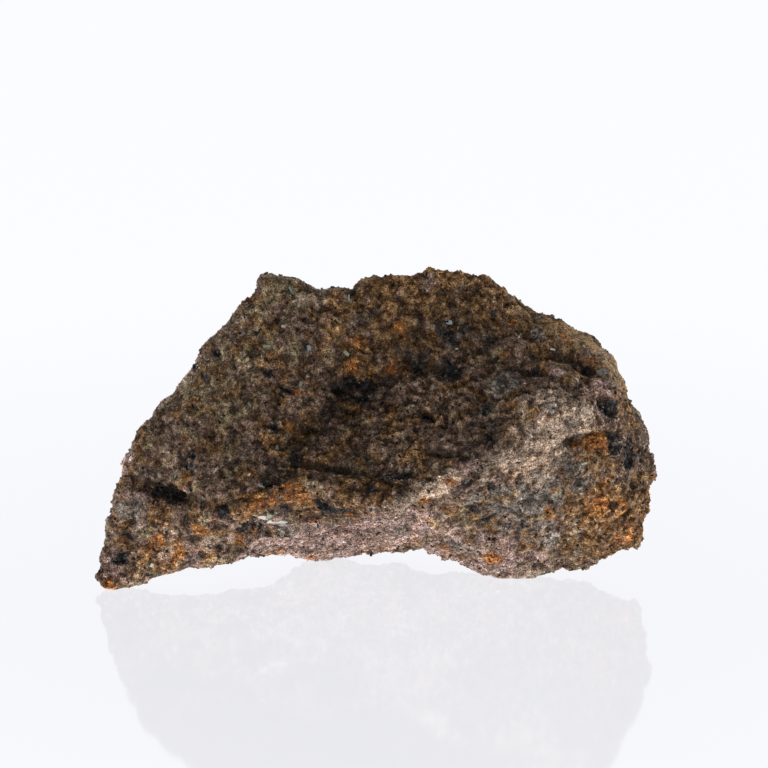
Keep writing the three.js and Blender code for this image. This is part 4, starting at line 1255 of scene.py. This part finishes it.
@dataclass
class Splinters:
    """The single crystals that stand out, each laid flat on the surface.

    Attributes:
        name: The piece's name, and its material's.
        finish: What they look like.
        thick: Their thickness, as a share of their width.
        sunk: How deep their middles lie, as a share of their width.
        broken: How far their corners are broken off, from 0 to 1.
        around: How far around a crystal the surface is felt for the way it faces, in millimetres.
        seed: What the random numbers start from.
    """

    name: str
    finish: CrystalFinish
    thick: float = 0.6
    sunk: float = 0.1
    broken: float = 0.55
    around: float = 1.2
    seed: int = 7

    def build(self, stone: bpy.types.Object) -> bpy.types.Object:
        """Lays the crystals on the stone.

        Args:
            stone: The finished surface that they lie on.

        Returns:
            The finished piece, a plain mesh.
        """
        vertices = stone.data.vertices
        near = kdtree.KDTree(len(vertices))
        for vertex in vertices:
            near.insert(vertex.co, vertex.index)
        near.balance()
        draw = np.random.default_rng(self.seed)
        made = bmesh.new()
        tint = made.verts.layers.float.new("tint")
        crystal = made.verts.layers.int.new("crystal")
        for number, splinter in enumerate(SPLINTERS):
            place = Vector(splinter.place) * MM
            around = near.find_range(place, self.around * MM)
            centre, index, _ = near.find(place)
            outward = sum((vertices[other].normal for _, other, _ in around), vertices[index].normal.copy())
            outward.normalize()
            slope = math.radians(splinter.slope)
            across = outward.cross(Vector((math.cos(slope), 0.0, math.sin(slope)))).normalized()
            along = across.cross(outward)
            length, width = splinter.size
            size = (length, width, width * self.thick)
            corners = []
            for signs in CORNERS:
                reach = signs * (1.0 - self.broken * draw.random(3)) * size * 0.5 * MM
                rise = reach[2] - self.sunk * width * MM
                corner = made.verts.new(centre + along * reach[0] + across * reach[1] + outward * rise)
                corner[tint] = splinter.look.value
                corner[crystal] = number
                corners.append(corner)
            bmesh.ops.convex_hull(made, input=corners)
        bmesh.ops.triangulate(made, faces=made.faces)
        bmesh.ops.recalc_face_normals(made, faces=made.faces)
        mesh = bpy.data.meshes.new(self.name)
        made.to_mesh(mesh)
        made.free()
        mesh.materials.append(self.finish.build(self.name))
        settle(mesh)
        return link(self.name, mesh)


def settle(mesh: bpy.types.Mesh) -> None:
    """Keeps crystals off the ground and gives each a square of its own on the texture map.

    Args:
        mesh: The realized crystals, all triangles.
    """
    places = read_points(mesh)
    places[:, 2] = np.maximum(places[:, 2], 0.0)
    mesh.vertices.foreach_set("co", places.ravel())
    crystal = np.empty(len(places), np.int32)
    mesh.attributes["crystal"].data.foreach_get("value", crystal)
    cell = crystal[read_corners(mesh)]
    across = math.ceil(math.sqrt(cell.max() + 1))
    nook = np.tile(np.array(NOOK), (len(cell) // 3, 1))
    write_map(mesh, (np.stack([cell % across, cell // across], axis=1) + nook) / across)


def read_points(mesh: bpy.types.Mesh, name: str = "co") -> np.ndarray:
    """Reads a mesh's vertices.

    Args:
        mesh: The mesh.
        name: What is read: "co" for their places or "normal" for the way they face.

    Returns:
        One row for each vertex.
    """
    flat = np.empty(len(mesh.vertices) * 3, np.float32)
    mesh.vertices.foreach_get(name, flat)
    return flat.reshape(-1, 3)


def read_corners(mesh: bpy.types.Mesh) -> np.ndarray:
    """Reads the corners of a mesh's faces.

    Args:
        mesh: The mesh.

    Returns:
        The number of each corner's vertex.
    """
    corners = np.empty(len(mesh.loops), np.int32)
    mesh.loops.foreach_get("vertex_index", corners)
    return corners


def write_values(mesh: bpy.types.Mesh, name: str, values: np.ndarray) -> None:
    """Writes a number for each vertex into a new attribute.

    Args:
        mesh: The mesh.
        name: The attribute's name.
        values: The numbers.
    """
    mesh.attributes.new(name, "FLOAT", "POINT").data.foreach_set("value", values.astype(np.float32))


def write_map(mesh: bpy.types.Mesh, spots: np.ndarray) -> None:
    """Writes the texture map.

    Args:
        mesh: The mesh.
        spots: Where each corner of its faces lies on the map, from 0 to 1 both ways.
    """
    mesh.uv_layers.new(name="OFBake").uv.foreach_set("vector", spots.astype(np.float32).ravel())


def link(name: str, content: bpy.types.ID) -> bpy.types.Object:
    """Stands a new object in the scene.

    Args:
        name: Its name.
        content: Its mesh, light or camera.

    Returns:
        The object.
    """
    made = bpy.data.objects.new(name, content)
    bpy.context.scene.collection.objects.link(made)
    return made


def make_plain(piece: bpy.types.Object) -> None:
    """Gives an object its evaluated form as a plain mesh and drops its modifiers.

    Args:
        piece: The object, linked to the scene.
    """
    view = bpy.context.evaluated_depsgraph_get()
    mesh = bpy.data.meshes.new_from_object(piece.evaluated_get(view), preserve_all_data_layers=True,
                                           depsgraph=view)
    mesh.name = piece.name
    old = piece.data
    piece.modifiers.clear()
    piece.data = mesh
    bpy.data.meshes.remove(old)


@dataclass
class Studio:
    """A pale glossy surface lit softly from all round, and the camera.

    Attributes:
        elevation: The camera's height over the horizon, in degrees.
        distance: From the camera to the place it looks at, in millimetres.
        aim: The place it looks at, in millimetres.
        focal: The lens's focal length on a 36 mm wide frame.
        frame_width: The width of that frame, in millimetres.
        half: From the sheet's middle to its edges, in metres.
        matt: How light the sheet itself is.
        glow: The colour that the sheet shines in.
        shown: How bright the sheet looks under the stone and away from it.
        fade: How far from the middle it reaches that brightness, in millimetres.
        lit: How bright it is for the light that it throws on the stone.
        mirror: How much of what it shows is a mirror image.
        polish: Roughness of that mirror image.
        sky: The colour of the surroundings.
        dim: How bright they are in front and above.
        bright: How bright they are behind.
        behind: Between which depths they go from dim to bright, on a ball around the stone of radius 1.
        backdrop: How much brighter still they are above the backdrop's edge.
        backdrop_edge: Between which heights on that ball the backdrop's edge lies.
        overhead: Between which heights they go dim again.
        horizon: How bright they are along the horizon at least.
        horizon_edge: Between which heights that brightness ends.
        boxes: The soft lights' names and middles, in millimetres.
        box_side: Their side, in millimetres.
        box_power: Their power, in watts.
        box_aim: The place they look at, in millimetres.
    """

    elevation: float = 14.0
    distance: float = 362.5
    aim: Point = (1.0, -0.5, 25.4)
    focal: float = 135.9
    frame_width: float = 36.0
    half: float = 20.0
    matt: float = 0.05
    glow: Colour = (0.955, 0.96, 1.0)
    shown: Pair = (0.915, 0.975)
    fade: float = 180.0
    lit: float = 1.62
    mirror: float = 0.11
    polish: float = 0.06
    sky: Colour = (0.985, 0.99, 1.0)
    dim: float = 0.14
    bright: float = 1.1
    behind: Pair = (0.0, 0.9)
    backdrop: float = 2.0
    backdrop_edge: Pair = (0.4, 0.5)
    overhead: Pair = (0.5, 0.95)
    horizon: float = 0.97
    horizon_edge: Pair = (0.03, 0.1)
    boxes: tuple[tuple[str, Point], ...] = (
        ("left", (-260.0, 60.0, 60.0)), ("right", (260.0, 60.0, 60.0)))
    box_side: float = 100.0
    box_power: float = 0.2
    box_aim: Point = (0.0, 0.0, 15.0)

    def build(self) -> None:
        """Makes the surface, the lights, the surroundings and the camera."""
        self._surface()
        self._surroundings()
        for name, place in self.boxes:
            self._softbox(name, place)
        self._camera()

    def _surface(self) -> None:
        """A wide white sheet that shines a little of its own and mirrors faintly."""
        corners = [(x * self.half, y * self.half, 0.0) for x, y in ((-1, -1), (1, -1), (1, 1), (-1, 1))]
        mesh = bpy.data.meshes.new("sheet")
        mesh.from_pydata(corners, [], [(0, 1, 2, 3)])
        sheet = link("sheet", mesh)
        material, wires, shader = new_material("glossy_white")
        wires.tree.nodes.remove(shader)
        matt = wires.node("ShaderNodeBsdfDiffuse", {"Color": (self.matt, self.matt, self.matt, 1.0)})
        place = wires.node("ShaderNodeNewGeometry").outputs["Position"]
        away = wires.node("ShaderNodeVectorMath", {0: place}, operation="LENGTH").outputs["Value"]
        shown = wires.between(away, 0.0, self.fade * MM, *self.shown)
        lit = wires.mixed_value(wires.node("ShaderNodeLightPath").outputs["Is Diffuse Ray"], shown, self.lit)
        glow = wires.node("ShaderNodeEmission", {"Color": (*self.glow, 1.0), "Strength": lit})
        body = wires.node("ShaderNodeAddShader", {0: matt.outputs[0], 1: glow.outputs[0]})
        gloss = wires.node("ShaderNodeBsdfGlossy", {"Color": (1.0, 1.0, 1.0, 1.0), "Roughness": self.polish})
        both = wires.node("ShaderNodeMixShader", {0: self.mirror, 1: body.outputs[0], 2: gloss.outputs[0]})
        wires.feed(wires.tree.nodes["Material Output"].inputs["Surface"], both.outputs[0])
        mesh.materials.append(material)

    def _surroundings(self) -> None:
        """Surroundings that are bright behind the stone and along the horizon, and dim in front and above."""
        world = bpy.data.worlds.new("tent")
        world.use_nodes = True
        wires = Wiring(world.node_tree)
        ball = wires.node("ShaderNodeTexCoord").outputs["Generated"]
        _, depth, height = wires.node("ShaderNodeSeparateXYZ", {0: ball}).outputs
        behind = wires.between(depth, *self.behind, self.dim, self.bright)
        overhead = wires.between(height, *self.overhead)
        lifted = wires.product(behind, wires.between(height, *self.backdrop_edge, 1.0, self.backdrop))
        dome = wires.mixed_value(overhead, lifted, self.dim)
        light = wires.result("MAXIMUM", dome, wires.between(height, *self.horizon_edge, self.horizon, 0.0))
        background = world.node_tree.nodes["Background"].inputs
        wires.feed(background["Strength"], light)
        wires.feed(background["Color"], (*self.sky, 1.0))
        bpy.context.scene.world = world
        bpy.context.scene.view_settings.view_transform = "Standard"

    def _softbox(self, name: str, place: Point) -> None:
        """A square soft light that looks at the stone.

        Args:
            name: The light's name.
            place: Its middle, in millimetres.
        """
        light = bpy.data.lights.new(name, "AREA")
        light.size = self.box_side * MM
        light.energy = self.box_power
        lamp = link(name, light)
        lamp.location = Vector(place) * MM
        lamp.rotation_euler = (Vector(self.box_aim) * MM - lamp.location).to_track_quat("-Z", "Y").to_euler()

    def _camera(self) -> None:
        """A long lens in front of the stone, a little above it."""
        tilt = math.radians(self.elevation)
        lens = bpy.data.cameras.new("camera")
        lens.lens = self.focal
        lens.sensor_width = self.frame_width
        lens.clip_end = CLEAR_VIEW
        camera = link("camera", lens)
        back = Vector((0.0, -math.cos(tilt), math.sin(tilt)))
        camera.location = (Vector(self.aim) + back * self.distance) * MM
        camera.rotation_euler = (math.radians(90.0) - tilt, 0.0, 0.0)
        bpy.context.scene.camera = camera


# finishes of the minerals that have colours of their own, by the crystal's tint
BLUISH_BLACK = CrystalFinish((0.15, 0.5), 0.4, own=(
    (0.0, (0.008, 0.009, 0.011)), (0.5, (0.018, 0.016, 0.016)), (0.85, (0.035, 0.028, 0.024))))
RUSTY = CrystalFinish((0.6, 0.95), 0.1, own=(
    (0.0, (0.16, 0.06, 0.018)), (0.4, (0.28, 0.12, 0.034)), (0.75, (0.42, 0.22, 0.07))))
PALE_GREEN = CrystalFinish((0.2, 0.4), 0.5, own=(
    (0.0, (0.2, 0.26, 0.2)), (0.5, (0.3, 0.36, 0.29)), (0.8, (0.42, 0.5, 0.4))))
STANDING_OUT = CrystalFinish((0.15, 0.35), 0.6, own=(
    (0.0, (0.36, 0.41, 0.29)), (0.25, (0.33, 0.38, 0.4)), (0.5, (0.7, 0.67, 0.6)),
    (0.75, (0.34, 0.33, 0.32))))

CRUSTS = (
    Crust("axinite_coarse", CrystalFinish(shades=(0.75, 1.25)), Habit.WEDGE, (0.45, 0.85), 1.1,
          {Zone.SKIN: -0.9}, tilt=0.6, sunk=0.16, seed=11),
    Crust("axinite_fine", CrystalFinish(pale_and_painted_glint=1.8), Habit.WEDGE, (0.25, 0.5), 2.3,
          {Zone.SKIN: -1.5}, sunk=0.12, seed=23),
    Crust("axinite_sugar", CrystalFinish(pale_and_painted_glint=2.0), Habit.WEDGE, (0.22, 0.45), 2.3,
          {Zone.SKIN: -1.5}, sunk=0.12, seed=29),
    Crust("feldspar_grains", CrystalFinish(), Habit.BLOCK, (0.3, 0.6), 0.2,
          {Zone.PINK: 2.5, Zone.PALE: 2.5}, sunk=0.12, seed=37),
    Crust("dark_grains", BLUISH_BLACK, Habit.PRISM, (0.25, 0.6), 0.2,
          {Zone.BLACK: 2.0, Zone.SKIN: -0.2}, sunk=0.1, seed=41),
    Crust("limonite_grains", RUSTY, Habit.EARTHY, (0.25, 0.55), 0.03,
          {Zone.RUST: 2.5, Zone.OCHRE: 0.15}, sunk=0.14, seed=53),
    Crust("pale_green_slivers", PALE_GREEN, Habit.SLIVER, (0.4, 0.9), 0.005,
          {Zone.SKIN: -0.01}, tilt=0.4, sunk=-0.05, seed=67),
)


def finish_piece(piece: bpy.types.Object) -> None:
    """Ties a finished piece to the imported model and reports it.

    Args:
        piece: The piece.
    """
    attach(piece, BODY)
    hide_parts(NODE)
    triangles = sum(len(polygon.vertices) - 2 for polygon in piece.data.polygons)
    LOG.info("%s: %d triangles", piece.name, triangles)


def main() -> None:
    """Builds the stone and the studio."""
    logging.basicConfig(level=logging.INFO, format="%(name)s: %(message)s")
    Studio().build()
    stone = BrokenSurface(frame["nodes"][NODE]).build()
    pieces = [stone] + [crust.build(stone) for crust in CRUSTS]
    pieces.append(Splinters("splinters", STANDING_OUT).build(stone))
    stone.data.materials.append(GroundmassFinish().build())
    for piece in pieces:
        finish_piece(piece)


if __name__ == "__main__":
    main()
